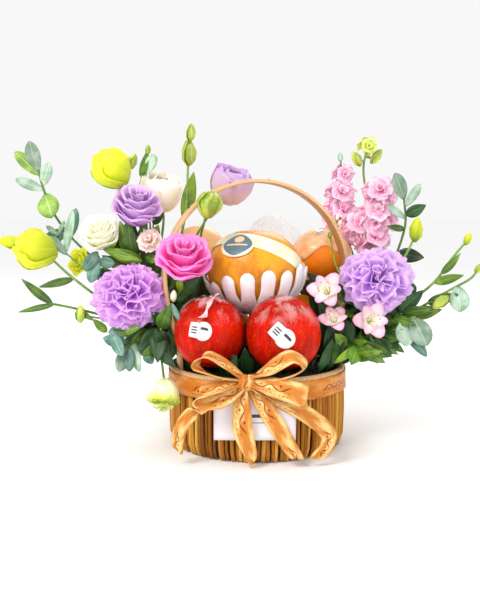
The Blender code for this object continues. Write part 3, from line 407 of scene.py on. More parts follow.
def finished(piece, material, tone):
    """Gives a piece its material, and one tone all over."""
    tones = piece.data.attributes.new("tone", "FLOAT", "POINT")
    tones.data.foreach_set("value", [tone] * len(piece.data.vertices))
    piece.data.materials.clear()
    piece.data.materials.append(material)
    return piece


def tagged(piece, material, tone):
    """Finishes a primitive after its place, turn and size have gone into its mesh."""
    alone(piece)
    bpy.ops.object.transform_apply(location=True, rotation=True, scale=True)
    return finished(piece, material, tone)


def shaped(model, material, tone, form):
    """A copy of a grid whose points a rule has moved: form takes (across, along)."""
    twin = copy_of(model)
    for vertex in twin.data.vertices:
        vertex.co = form(vertex.co.x, (vertex.co.y + 1) / 2)
    return finished(twin, material, tone)


def cut_across(heights):
    """Cuts the active mesh across at some heights, so that it can bend there."""
    bpy.ops.object.mode_set(mode="EDIT")
    for height in heights:
        bpy.ops.mesh.select_all(action="SELECT")
        bpy.ops.mesh.bisect(plane_co=(0, 0, height), plane_no=UP)
    bpy.ops.object.mode_set(mode="OBJECT")


def joined(name, pieces, thickness=0.0):
    """Joins sheets into one smooth piece, with both faces and an edge where thickness is given."""
    alone(*pieces)
    if len(pieces) > 1:
        bpy.ops.object.join()
    body = bpy.context.object
    body.name = name
    if thickness:
        modify(body, "SOLIDIFY", thickness=thickness, offset=0)
    alone(body)
    bpy.ops.object.mode_set(mode="EDIT")
    bpy.ops.mesh.select_all(action="SELECT")
    bpy.ops.mesh.normals_make_consistent(inside=False)
    bpy.ops.object.mode_set(mode="OBJECT")
    bpy.ops.object.shade_smooth()
    return body


def dress(piece, slot, *nodes):
    """Lets a finished piece ride on the basket and stand for its solids."""
    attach(piece, "root")
    if nodes:
        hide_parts(*nodes)
    print(piece.name, len(piece.data.polygons), "faces")
    return piece


def smooth_path(points, steps):
    """Points along a Catmull-Rom curve through the given ones."""
    ends = [2 * points[0] - points[1], *points, 2 * points[-1] - points[-2]]
    made = []
    for a, b, c, d in zip(ends, ends[1:], ends[2:], ends[3:]):
        for step in range(steps):
            t = step / steps
            made.append(0.5 * (2 * b + (c - a) * t + (2 * a - 5 * b + 4 * c - d) * t * t
                               + (3 * b - a - 3 * c + d) * t ** 3))
    return [*made, points[-1]]


def stalk(points, radius, material, tone=0.5, ends=1.0):
    """A stem: a bevelled curve turned into a mesh, thinner at its far end where ends is under 1."""
    curve = bpy.data.curves.new("stalk", "CURVE")
    curve.dimensions = "3D"
    curve.bevel_depth = radius
    curve.bevel_resolution = 2
    curve.use_fill_caps = True
    spline = curve.splines.new("POLY")
    spline.points.add(len(points) - 1)
    for i, (place, point) in enumerate(zip(points, spline.points)):
        point.co = (*place, 1)
        point.radius = 1 + (ends - 1) * (1 - i / (len(points) - 1))
    made = bpy.data.objects.new("stalk", curve)
    scene.collection.objects.link(made)
    alone(made)
    bpy.ops.object.convert(target="MESH")
    made = bpy.context.object
    if not made.data.uv_layers:
        made.data.uv_layers.new(name="UVMap")
    return finished(made, material, tone)


def ease(share):
    """A share from 0 to 1 that starts and ends gently."""
    return share * share * (3 - 2 * share)


def sphere_way(polar, turn):
    """The direction at an angle from the top and an angle round it."""
    return Vector((math.sin(polar) * math.cos(turn), math.sin(polar) * math.sin(turn), math.cos(polar)))


def round_way(turn):
    """The level direction at an angle."""
    return Vector((math.cos(turn), math.sin(turn), 0))


def turned_to(direction, place, squash=1.0):
    """The matrix that points +Z along a direction, at a place."""
    turn = Vector(direction).normalized().to_track_quat("Z", "Y").to_matrix().to_4x4()
    return Matrix.Translation(place) @ turn @ Matrix.Diagonal((1, squash, 1, 1))


PETAL_GRID, FINE_GRID, SMALL_GRID, LEAF_GRID = grid(6, 7), grid(12, 8), grid(4, 4), grid(4, 10)
print("grids", [len(made.data.polygons) for made in (PETAL_GRID, FINE_GRID, SMALL_GRID, LEAF_GRID)])

# %% [markdown]
# Every bloom here is rings of petals about one axis. A petal's middle line is either three
# leans, from the axis at its foot, middle and tip, or a few points that it runs through. So a
# closed bud, a bell, a trumpet and a full rose are the same rule with other numbers. Its sides
# wrap round the axis, and its rim is ruffled. Sizes are in units of the bloom's radius.

# %% The petal rule
STEPS = 16
LIP = 0.78          # the share of a petal's length where its lip begins to curl


def leaning_line(root, rise, length, leans, swing=0.0, curl=0.0):
    """A petal's middle line from its foot (root, rise) and its three leans, with a curled lip."""
    line = [(root, rise, math.radians(leans[0]))]
    for i in range(1, STEPS + 3):
        t = i / STEPS
        lean = (1 - t) ** 2 * leans[0] + 2 * t * (1 - t) * leans[1] + t * t * leans[2]
        angle = math.radians(lean + swing * t + curl * max(0, (t - LIP) / (1 - LIP)) ** 2)
        r, z, _ = line[-1]
        line.append((r + length / STEPS * math.sin(angle), z + length / STEPS * math.cos(angle), angle))
    return line


def drawn_line(points, stretch=1.0):
    """A petal's middle line through given (reach, height) points."""
    path = smooth_path([Vector((r, z * stretch)) for r, z in points], STEPS)
    picked = [path[round(i * (len(path) - 1) / STEPS)] for i in range(STEPS + 1)]
    picked += [2 * picked[-1] - picked[-2], 3 * picked[-1] - 2 * picked[-2]]
    ways = [b - a for a, b in zip(picked, picked[1:])]
    return [(p.x, p.y, math.atan2(w.x, w.y)) for p, w in zip(picked, [*ways, ways[-1]])]


FOOT_WIDTH = 0.28   # a petal's width at its foot, as a share of its full width
FULL_WIDTH = 0.6    # the share of its length where it has its full width


def petal(model, matrix, material, tone, turn, line, width, ruffle=0.0, waves=2.0,
          rounding=0.25, point=0.0, phase=0.0, fringe=0.0, spiral=0.03):
    """One petal along a middle line, wrapped round the axis at an angle."""

    def form(u, v):
        reach = v * (1 - rounding * u * u) + fringe * v ** 5 * math.sin(10 * u + 3 * phase)
        place = min(max(reach, 0) * STEPS, STEPS + 0.99)
        i = int(place)
        (r0, z0, angle), (r1, z1, _) = line[i], line[i + 1]
        r, z = r0 + (r1 - r0) * (place - i), z0 + (z1 - z0) * (place - i)
        half = width * (FOOT_WIDTH + (1 - FOOT_WIDTH) * math.sin(math.pi / 2 * min(1, v / FULL_WIDTH)))
        half *= 1 - point * max(0, (v - 0.45) / 0.55) ** 1.6
        push = ruffle * v ** 2.2 * math.sin(waves * math.pi * u + phase) + spiral * u * (r + 0.2)
        r += push * math.cos(angle)
        z -= push * math.sin(angle)
        swing = turn + u * half / max(r, 0.62 * half)
        return matrix @ Vector((r * math.cos(swing), r * math.sin(swing), z))

    return shaped(model, material, tone, form)


# Lines that several forms share: a lemon, and a bud that is closed at its tip
LEMON = [(0.05, -1.16), (0.4, -1.0), (0.8, -0.5), (1.0, 0.05), (0.76, 0.55), (0.24, 0.95)]
CLOSED = [(0.22, -1.9), (0.78, -1.25), (1.0, -0.3), (0.82, 0.8), (0.36, 1.55), (0.04, 1.85)]


def drawn_in(share):
    """The lemon's line, nearer to the axis."""
    return [(r * share, z) for r, z in LEMON]


# Layers of each form, from the inside: count, the line (root, rise, length, leans, or a list of
# points), half width, ruffle, rounding of the rim
FORMS = {
    "rose": [
        (3, (0.02, -0.3, 0.84, (14, 0, -10)), 0.34, 0.01, 0.22),
        (4, (0.06, -0.48, 1.05, (32, 0, 8)), 0.5, 0.03, 0.24),
        (5, (0.09, -0.72, 1.28, (54, 0, 16)), 0.68, 0.04, 0.24),
        (5, (0.11, -0.92, 1.42, (74, -2, 26)), 0.84, 0.06, 0.22),
        (5, (0.12, -1.0, 1.26, (88, 4, 44)), 0.88, 0.07, 0.2)],
    "carnation": [
        (5, (0.03, -0.6, 1.08, (3, 8, 18)), 0.36, 0.12, 0.06),
        (6, (0.05, -0.62, 1.1, (12, 22, 36)), 0.44, 0.14, 0.06),
        (8, (0.06, -0.62, 1.08, (26, 36, 56)), 0.46, 0.15, 0.06),
        (9, (0.07, -0.62, 1.06, (40, 52, 74)), 0.48, 0.15, 0.06),
        (10, (0.08, -0.62, 1.02, (56, 66, 92)), 0.5, 0.14, 0.08),
        (9, (0.09, -0.6, 0.95, (74, 82, 104)), 0.52, 0.12, 0.1)],
    "furled": [(3, drawn_in(0.8), 0.8, 0.04, 0.2), (4, drawn_in(0.93), 0.95, 0.06, 0.24),
               (4, LEMON, 0.95, 0.07, 0.26)],
    "goblet": [
        (3, [(0.05, -1.0), (0.4, -0.7), (0.6, -0.1), (0.5, 0.4), (0.3, 0.62)], 0.8, 0.05, 0.2),
        (4, [(0.05, -1.05), (0.5, -0.8), (0.85, -0.2), (0.85, 0.3), (0.66, 0.66)], 0.9, 0.07, 0.22),
        (4, [(0.06, -1.1), (0.62, -0.92), (0.98, -0.3), (1.02, 0.25), (0.9, 0.66)], 1.0, 0.08, 0.22)],
    "bell": [
        (5, [(0.1, -1.1), (0.4, -0.9), (0.66, -0.4), (0.76, 0.05), (0.7, 0.35)], 0.7, 0.1, 0.1),
        (5, [(0.1, -1.15), (0.5, -0.95), (0.8, -0.45), (0.92, 0.0), (0.95, 0.3)], 0.86, 0.12, 0.12)],
    "cup": [
        (3, (0.05, -1.0, 1.35, (30, 2, 10)), 0.5, 0.04, 0.28),
        (4, (0.07, -1.04, 1.5, (44, 2, 34)), 0.66, 0.07, 0.25),
        (5, (0.09, -1.08, 1.58, (54, 4, 64)), 0.76, 0.1, 0.2)],
    "bud": [(3, CLOSED, 1.3, 0.0, 0.06)],
    "lily": [
        (3, (0.07, -0.6, 1.22, (10, 34, 66)), 0.46, 0.04, 0.34),
        (3, (0.1, -0.62, 1.26, (16, 46, 80)), 0.56, 0.05, 0.28)],
    "pompon": [
        (4, (0.03, -0.6, 1.05, (6, 10, 20)), 0.4, 0.1, 0.1),
        (6, (0.05, -0.6, 1.05, (24, 34, 56)), 0.5, 0.12, 0.1),
        (7, (0.07, -0.6, 1.0, (50, 60, 90)), 0.52, 0.12, 0.1)],
    "floret": [
        (3, (0.04, -0.5, 0.9, (10, 16, 40)), 0.5, 0.1, 0.2),
        (5, (0.06, -0.5, 1.05, (40, 56, 88)), 0.7, 0.11, 0.24)],
}
# What a form does that the others do not
EXTRAS = {
    "carnation": {"waves": 2.0, "fringe": 0.04}, "pompon": {"waves": 2.2, "fringe": 0.05},
    "lily": {"waves": 1.2, "point": 0.22}, "furled": {"spiral": 0.09}, "bud": {"spiral": 0.12},
    "rose": {"spiral": 0.07}, "bell": {"fringe": 0.03},
}
CURL = {"rose": 70, "lily": 30}
SQUASH = {"carnation": 0.9}
LOOSE = {"carnation": 9}
GRIDS = {**dict.fromkeys(("carnation", "rose", "furled"), FINE_GRID),
         **dict.fromkeys(("floret", "bud"), SMALL_GRID)}
GOLDEN = math.pi * (3 - math.sqrt(5))


def petals(kind, place, direction, diameter, material, draw):
    """All petals of one bloom, in metres."""
    radius = diameter * MM / 2
    matrix = turned_to(direction, mm(place), SQUASH.get(kind, 1)) @ Matrix.Scale(radius, 4)
    loose = LOOSE.get(kind, 4)
    made = []
    for layer, (count, course, width, ruffle, rounding) in enumerate(FORMS[kind]):
        for i in range(count):
            turn = 2 * math.pi * i / count + layer * (math.pi / 3 if kind == "lily" else GOLDEN)
            turn += draw.uniform(-0.02, 0.02) * loose
            if isinstance(course, list):
                line = drawn_line(course, draw.uniform(0.98, 1.02))
            else:
                root, rise, length, leans = course
                length *= draw.uniform(1 - 0.012 * loose, 1.03)
                swing = draw.uniform(-loose, loose)
                line = leaning_line(root, rise, length, leans, swing, CURL.get(kind, 0))
            made.append(petal(GRIDS.get(kind, PETAL_GRID), matrix, material, draw.random(), turn, line, width,
                              ruffle, rounding=rounding, phase=draw.uniform(0, 6.3), **EXTRAS.get(kind, {})))
    return made


ROUND_LEAVES = ("sage", "teal", "olive")


def leaf_of(finish, base, tip, width, draw, hint=FRONT):
    """A leaf from its foot to its tip, folded at its midrib and a little wavy.

    Eucalyptus leaves are round and widest past their middle, and the others have a point."""
    widest, roundness = (0.56, 0.5) if finish in ROUND_LEAVES else (0.42, 0.8)
    fold, sag = 0.16, 0.1
    along = tip - base
    across = along.cross(hint).normalized()
    over = across.cross(along).normalized()
    power = math.log(0.5) / math.log(widest)
    phase = draw.uniform(0, 6)
    bend = draw.uniform(-0.5, 1.2) * sag * along.length

    def form(u, v):
        half = width / 2 * max(0.02, math.sin(math.pi * min(1, max(0, v)) ** power)) ** roundness
        lift = fold * half * abs(u) + 0.05 * width * math.sin(7 * v + 2 * u + phase) * abs(u)
        return base + along * v + across * u * half + over * (bend * math.sin(math.pi * v) + lift)

    return shaped(LEAF_GRID, FINISH[finish], draw.random(), form)


print("forms", {kind: sum(layer[0] for layer in layers) for kind, layers in FORMS.items()})


# %% [markdown]
# Each spray is one cut stem, and it stands for one solid. The places are the ones that the
# solids have: the stem's line, the flower heads with the way they face, and the leaves.

# %% The sprays
GREENERY = {"left": mm((-117, 34, 134)), "right": mm((128, 32, 130))}
GREENERY_RADII = mm((29, 40, 40))
STEM_TOP = 0.6              # how far behind a bloom's middle its stem ends, in radii
STEM, SIDE_STEM = 1.5 * MM, 1.1 * MM
PETAL_THICKNESS, LEAF_THICKNESS = 0.45 * MM, 0.5 * MM

# Name: side, record slot, line of the stem, heads (form, place, facing, diameter, finish),
# leaves (foot, tip, width, finish)
SPRAYS = {
    "carnation_left": ("left", "lilac_petal", [], [
        ("carnation", (-144, -38, 170), (-0.25, -0.9, 0.3), 82, "lilac")], []),
    "rose_pink": ("left", "pink_petal", [(-78, -34, 192), (-86, -6, 174)], [
        ("rose", (-77, -63, 214), (0.05, -0.6, 0.8), 60, "pink")], []),
    "rose_lavender": ("left", "lilac_petal", [(-127, 0, 230), (-122, 18, 195)], [
        ("rose", (-130, -20, 268), (0.15, -0.5, 0.85), 56, "lavender")], []),
    "lisianthus_white": ("left", "cream_petal", [(-106, 26, 250), (-112, 32, 205)], [
        ("goblet", (-110, 32, 281), (0.2, -0.3, 0.9), 48, "peach_white")], []),
    "rose_cream": ("left", "cream_petal", [(-160, 6, 208), (-142, 18, 178)], [
        ("rose", (-174, -15, 237), (-0.2, -0.7, 0.7), 47, "cream")], []),
    "lisianthus_yellow_top": ("left", "yellow_petal", [(-148, 2, 280), (-136, 20, 215)], [
        ("furled", (-161, -5, 304), (-0.6, -0.25, 0.75), 43, "yellow"),
        ("bud", (-138, -2, 311), (0.4, -0.3, 0.6), 11, "bud")], []),
    "lisianthus_yellow_left": ("left", "yellow_petal", [
        (-220, -26, 203), (-199, -26, 184), (-168, -4, 156)], [
        ("furled", (-241, -30, 216), (-0.85, -0.35, 0.3), 44, "yellow"),
        ("bud", (-270, -12, 223), (-1, -0.1, 0.12), 15, "yellow")],
        [((-199, -26, 184), (-235, -36, 176), 9, "green")]),
    "lisianthus_yellow_mid": ("left", "yellow_petal", [(-184, 18, 186), (-150, 28, 160)], [
        ("cup", (-200, 6, 201), (-0.5, -0.6, 0.2), 30, "yellow")], []),
    "lisianthus_green_hanging": ("left", "cream_petal", [(-104, -46, 106), (-110, -16, 122)], [
        ("bell", (-98, -74, 64), (-0.05, -0.4, -0.9), 35, "lime_cream"),
        ("pompon", (-98.5, -77, 57), (-0.05, -0.4, -0.9), 31, "lime")], []),
    "bud_green_upper": ("left", "leaf", [(-60, -28, 236), (-68, -8, 208), (-90, 10, 176)], [
        ("furled", (-51, -40, 265), (0.3, -0.1, 0.9), 27, "bud")], []),
    "lisianthus_lilac": ("left", "lilac_petal", [(-52, 32, 256), (-84, 34, 205), (-104, 36, 178)], [
        ("goblet", (-29, 35, 289), (0.3, -0.3, 0.9), 47, "mauve")], []),
    "bud_tall": ("left", "leaf", [(-77, 8, 300), (-80, 10, 255), (-96, 22, 185)], [
        ("bud", (-76, 8, 322), (0, 0, 1), 16, "bud"), ("bud", (-73, 2, 343), (0.1, -0.1, 1), 10, "bud")],
        [((-79, 10, 246), (-70, 4, 300), 16, "bright")]),
    "carnation_blush": ("left", "blush_petal", [(-112, -4, 204), (-110, 12, 180)], [
        ("pompon", (-118, -24, 227), (-0.2, -0.8, 0.4), 30, "blush")], []),
    "eucalyptus_top_left": ("left", "sage_leaf", [
        (-241, 0, 303), (-236, 0, 282), (-227, 4, 256), (-207, 14, 225), (-177, 24, 195),
        (-145, 30, 162)], [], [
        ((-241, 0, 300), (-249, -4, 333), 16, "sage"), ((-240, 0, 296), (-267, 4, 322), 14, "olive"),
        ((-237, 0, 284), (-227, -6, 310), 13, "sage"), ((-236, 0, 280), (-266, 0, 292), 12, "sage"),
        ((-234, 0, 276), (-224, -12, 250), 24, "olive"), ((-214, 10, 234), (-236, 0, 224), 16, "teal"),
        ((-209, 12, 228), (-200, 0, 260), 13, "teal")]),
    "lance_leaves_left": ("left", "leaf", [(-228, -22, 157), (-200, -14, 150), (-158, 8, 136)], [], [
        ((-224, -20, 156), (-256, -26, 184), 10, "green"), ((-222, -20, 156), (-262, -22, 147), 7, "green"),
        ((-200, -14, 150), (-178, -26, 138), 7, "green")]),
    "eucalyptus_low_left": ("left", "sage_leaf", [(-147, -26, 108), (-130, 2, 116)], [], [
        ((-144, -21, 109), (-150, -38, 84), 15, "sage"), ((-138, -11, 112), (-128, -38, 84), 12, "sage"),
        ((-141, -16, 110), (-168, -30, 120), 14, "teal"), ((-134, -4, 114), (-114, -32, 96), 13, "teal")]),
    "leaves_front_left": ("left", "leaf", [(-104, -38, 130), (-110, -8, 134)], [], [
        ((-104, -36, 131), (-106, -58, 98), 20, "dark"), ((-105, -34, 131), (-92, -58, 160), 17, "green"),
        ((-105, -32, 131), (-128, -46, 108), 18, "dark")]),
    "stock_pink_left": ("right", "pink_petal", [
        (103, 90, 278), (103, 94, 256), (110, 105, 233), (119, 92, 205), (128, 68, 172)], [
        ("spike", (106, 98, 303), (0, -0.3, 1), 28, "stock"),
        ("spike", (103, 96, 280), (0, -0.3, 1), 38, "stock"),
        ("spike", (104, 101, 256), (-0.2, -0.4, 1), 46, "stock"),
        ("spike", (111, 112, 234), (0.2, -0.4, 1), 48, "stock"),
        ("bud", (103, 96, 322), (-0.1, 0, 1), 6, "sage")], []),
    "stock_pink_right": ("right", "pink_petal", [(144, 54, 252), (139, 58, 226), (130, 46, 180)], [
        ("spike", (146, 58, 280), (0.2, -0.5, 0.8), 44, "stock"),
        ("spike", (143, 58, 252), (0.2, -0.6, 0.8), 50, "stock"),
        ("spike", (137, 62, 226), (0, -0.6, 0.8), 44, "stock"),
        ("spike", (122, 72, 240), (0, -0.6, 0.8), 46, "stock")], []),
    "stock_green": ("right", "leaf", [(133, 106, 302), (144, 122, 250), (138, 92, 176)], [
        ("spike", (136, 98, 337), (0.2, -0.2, 1), 25, "lime"),
        ("bud", (147, 98, 323), (0.6, -0.2, 0.8), 11, "bud"),
        ("bud", (123, 98, 320), (-0.5, -0.2, 0.8), 11, "bud")], []),
    "carnation_right": ("right", "lilac_petal", [], [
        ("carnation", (133, -26, 187), (0.12, -0.9, 0.35), 82, "violet")], []),
    "alstroemeria_upper": ("right", "blush_petal", [(88, -14, 152), (104, 4, 144)], [
        ("lily", (72, -48, 174), (-0.3, -0.85, 0.4), 42, "lily")], []),
    "alstroemeria_middle": ("right", "blush_petal", [(98, -26, 126), (108, -4, 130)], [
        ("lily", (81, -46, 143), (-0.1, -0.7, 0.7), 35, "lily")], []),
    "alstroemeria_lower": ("right", "blush_petal", [(126, -26, 128), (126, -10, 130)], [
        ("lily", (119, -60, 143), (0.1, -0.95, 0.2), 42, "lily")], []),
    "bud_yellow_right": ("right", "yellow_petal", [(172, 24, 210), (148, 30, 164)], [
        ("bud", (181, 20, 236), (0.1, 0, 1), 15, "yellow")], []),
    "buds_upper_right": ("right", "leaf", [(222, 12, 206), (200, 12, 176), (166, 22, 146)], [
        ("bud", (237, 10, 226), (0.4, 0, 1), 8, "yellow")],
        [((208, 12, 186), (228, 6, 210), 9, "bright"), ((200, 12, 176), (231, 0, 186), 11, "bright")]),
    "buds_far_right": ("right", "leaf", [(236, -6, 182), (210, -8, 168), (164, 10, 136)], [
        ("bud", (247, -2, 194), (0.6, 0, 0.8), 7, "bud"),
        ("bud", (200, -22, 158), (-0.8, -0.3, -0.5), 12, "bud")],
        [((190, -2, 154), (222, -14, 166), 14, "green"), ((172, 6, 142), (206, -6, 148), 16, "bright"),
         ((222, -8, 175), (224, -14, 146), 22, "sage")]),
    "eucalyptus_top_right": ("right", "sage_leaf", [
        (169, 34, 272), (171, 34, 240), (158, 34, 198), (142, 34, 168)], [], [
        ((169, 34, 270), (157, 28, 300), 16, "sage"), ((170, 34, 262), (187, 34, 288), 11, "sage"),
        ((171, 34, 252), (193, 28, 264), 14, "dark"), ((171, 34, 248), (150, 40, 264), 9, "sage"),
        ((171, 34, 236), (148, 22, 240), 8, "green"), ((162, 34, 208), (192, 26, 204), 17, "dark")]),
    "eucalyptus_low_right": ("right", "sage_leaf", [(172, -26, 142), (152, -6, 133)], [], [
        ((170, -24, 142), (184, -34, 112), 24, "sage"), ((160, -16, 138), (160, -38, 112), 20, "sage"),
        ((156, -12, 136), (184, -34, 100), 13, "teal")]),
    "leaves_front_right": ("right", "leaf", [(108, -40, 112), (116, -6, 122)], [], [
        ((108, -40, 112), (98, -60, 96), 17, "green"), ((109, -38, 113), (134, -60, 98), 16, "green"),
        ((110, -34, 114), (144, -44, 102), 16, "green"), ((108, -40, 112), (80, -62, 98), 9, "bright")]),
    "foliage_rear_left": ("left", "leaf", [(-128, 96, 176), (-124, 76, 161)], [], [
        ((-128, 94, 175), (-140, 112, 214), 17, "green"), ((-126, 86, 168), (-164, 96, 186), 18, "green"),
        ((-125, 80, 164), (-98, 108, 190), 17, "dark"), ((-124, 74, 160), (-150, 98, 142), 18, "teal"),
        ((-123, 72, 158), (-108, 102, 132), 17, "green")]),
    "foliage_rear_right": ("right", "leaf", [(134, 98, 164), (132, 78, 156)], [], [
        ((134, 96, 164), (150, 118, 192), 17, "green"), ((132, 88, 158), (172, 98, 168), 18, "teal"),
        ((132, 84, 156), (102, 112, 166), 17, "green"), ((131, 78, 154), (158, 98, 130), 18, "dark"),
        ((131, 75, 152), (112, 104, 122), 17, "green")]),
}


def nearest(path, place):
    """The nearest point of a path to a place."""
    found = []
    for start, end in zip(path, path[1:]):
        point, share = intersect_point_line(place, start, end)
        found.append(start if share < 0 else end if share > 1 else point)
    return min(found, key=lambda point: (point - place).length)


def stem_foot(core, towards):
    """Where a stem enters the leaves: just inside the green core's surface."""
    inside = 0.94
    ray = towards - core
    return core + ray * (inside / Vector(r / s for r, s in zip(ray, GREENERY_RADII)).length)


def calyx(place, direction, radius, draw):
    """The small green leaves that hold a bloom from behind."""
    matrix = turned_to(direction, place) @ Matrix.Scale(radius, 4)
    line = leaning_line(0.05, -1.0, 0.75, (60, 50, 58))
    return [petal(SMALL_GRID, matrix, FINISH["stem"], draw.random(), 2 * math.pi * i / 5, line, 0.26,
                  rounding=0.5, point=0.9) for i in range(5)]


def stamens(place, direction, radius, draw):
    """Six thin threads with a small head each, from the throat of a trumpet flower."""
    count, thread, head = 6, 0.35 * MM, 1.1 * MM
    matrix = turned_to(direction, place)
    made = []
    for i in range(count):
        side = round_way(2 * math.pi * i / count + draw.uniform(-0.3, 0.3))
        line = [matrix @ (radius * (side * reach + UP * rise))
                for reach, rise in ((0.06, -0.4), (0.12, 0.0), (0.2, 0.34), (0.3, 0.5))]
        made.append(stalk(line, thread, FINISH["cream"]))
        bpy.ops.mesh.primitive_ico_sphere_add(subdivisions=1, radius=head, location=line[-1])
        made.append(tagged(bpy.context.object, FINISH["mauve"], 0.1))
    return made


def spike(place, direction, diameter, material, draw):
    """A stretch of a flower spike: ruffled florets all round its stem."""
    radius = diameter * MM / 2
    floret = min(17 * MM, 0.85 * radius)
    count = max(4, round(6 * (radius / (19 * MM)) ** 1.4))
    made = []
    for i in range(count):
        turn = i * GOLDEN + draw.uniform(-0.3, 0.3)
        out = sphere_way(math.acos(0.8 - 1.6 * (i + 0.5) / count), turn)
        where = mm(place) + out * (radius - 0.4 * floret)
        aim = out + Vector((draw.uniform(-0.2, 0.2), -0.15, 0.35))
        made += petals("floret", where / MM, aim, 2 * floret / MM, material, draw)
    return made


WITH_CALYX = ("rose", "cup", "carnation", "furled", "goblet", "bell")


def make_spray(name, number):
    """Builds one cut stem as one piece."""
    side, slot_name, line, heads, leaves = SPRAYS[name]
    draw = random.Random(100 + number)
    tops = [mm(place) - Vector(aim).normalized() * STEM_TOP * size * MM / 2
            for _, place, aim, size, _ in heads]
    path = [*tops[:1], *(mm(point) for point in line)]
    path.append(stem_foot(GREENERY[side], path[-1]))
    path = smooth_path(path, 5)
    parts = [stalk(path, STEM, FINISH["stem"], draw.random(), ends=0.7)]
    for top, (kind, place, aim, size, finish) in zip(tops, heads):
        if kind == "spike":
            parts += spike(place, aim, size, FINISH[finish], draw)
        else:
            parts += petals(kind, place, aim, size, FINISH[finish], draw)
        if kind in WITH_CALYX:
            parts += calyx(mm(place), aim, size * MM / 2, draw)
        if kind == "lily":
            parts += stamens(mm(place), aim, size * MM / 2, draw)
        fork = nearest(path, top)
        if (fork - top).length > 1 * MM:
            parts.append(stalk(smooth_path([fork, top], 3), SIDE_STEM, FINISH["stem"]))
    for foot, tip, width, finish in leaves:
        parts.append(leaf_of(finish, nearest(path, mm(foot)), mm(tip), width * MM, draw))
    return dress(joined(name + "_bloom", parts, PETAL_THICKNESS), slot_name, name)


for number, name in enumerate(SPRAYS):
    make_spray(name, number)

# %% [markdown]
# At the foot of each bunch small leaves fill the space between the stems. A dark core stands
# inside, and leaves grow out of it all round, except where the fruit, the blooms or the basket's wall is.

# %% The leaves at the foot of the bunches
FRUIT = {
    "apple_left": (mm((-51, -50, 128.5)), mm((38, 38, 39.1))),
    "apple_right": (mm((26.5, -60, 128.5)), mm((39.5, 39.5, 40.7))),
    "pear": (mm((-3, 4, 192)), mm((53, 53, 46))),
    "orange_right": (mm((79, 71, 202)), mm((35.5, 35.5, 33.4))),
    "orange_left": (mm((-69, 69, 208)), mm((34, 34, 32))),
    "orange_low_right": (mm((48, 45, 126)), mm((37, 37, 35))),
    "orange_low_left": (mm((-45, 42, 124)), mm((37, 37, 35))),
}
NECKS = {
    "left": [(-77, 10, 86), (-78, 10, 96), (-92, 16, 111), (-112, 28, 126)],
    "right": [(77, -10, 86), (78, -9, 96), (93, 0, 111), (120, 18, 124)],
}
BLOOM_SPOTS = [(mm(place), size * MM / 2) for _, _, _, heads, _ in SPRAYS.values()
               for kind, place, _, size, _ in heads if kind != "bud"]


WALL_TOP, WALL_REACH = 90 * MM, 103 * MM


def is_free(place, room=6 * MM):
    """Whether a place is clear of the fruit, the blooms and the basket's wall."""
    for centre, radii in FRUIT.values():
        if Vector(p / (r + room) for p, r in zip(place - centre, radii)).length < 1:
            return False
    if any((place - centre).length < radius for centre, radius in BLOOM_SPOTS):
        return False
    reach = math.hypot(place.x, place.y)
    return place.z > WALL_TOP or reach > WALL_REACH


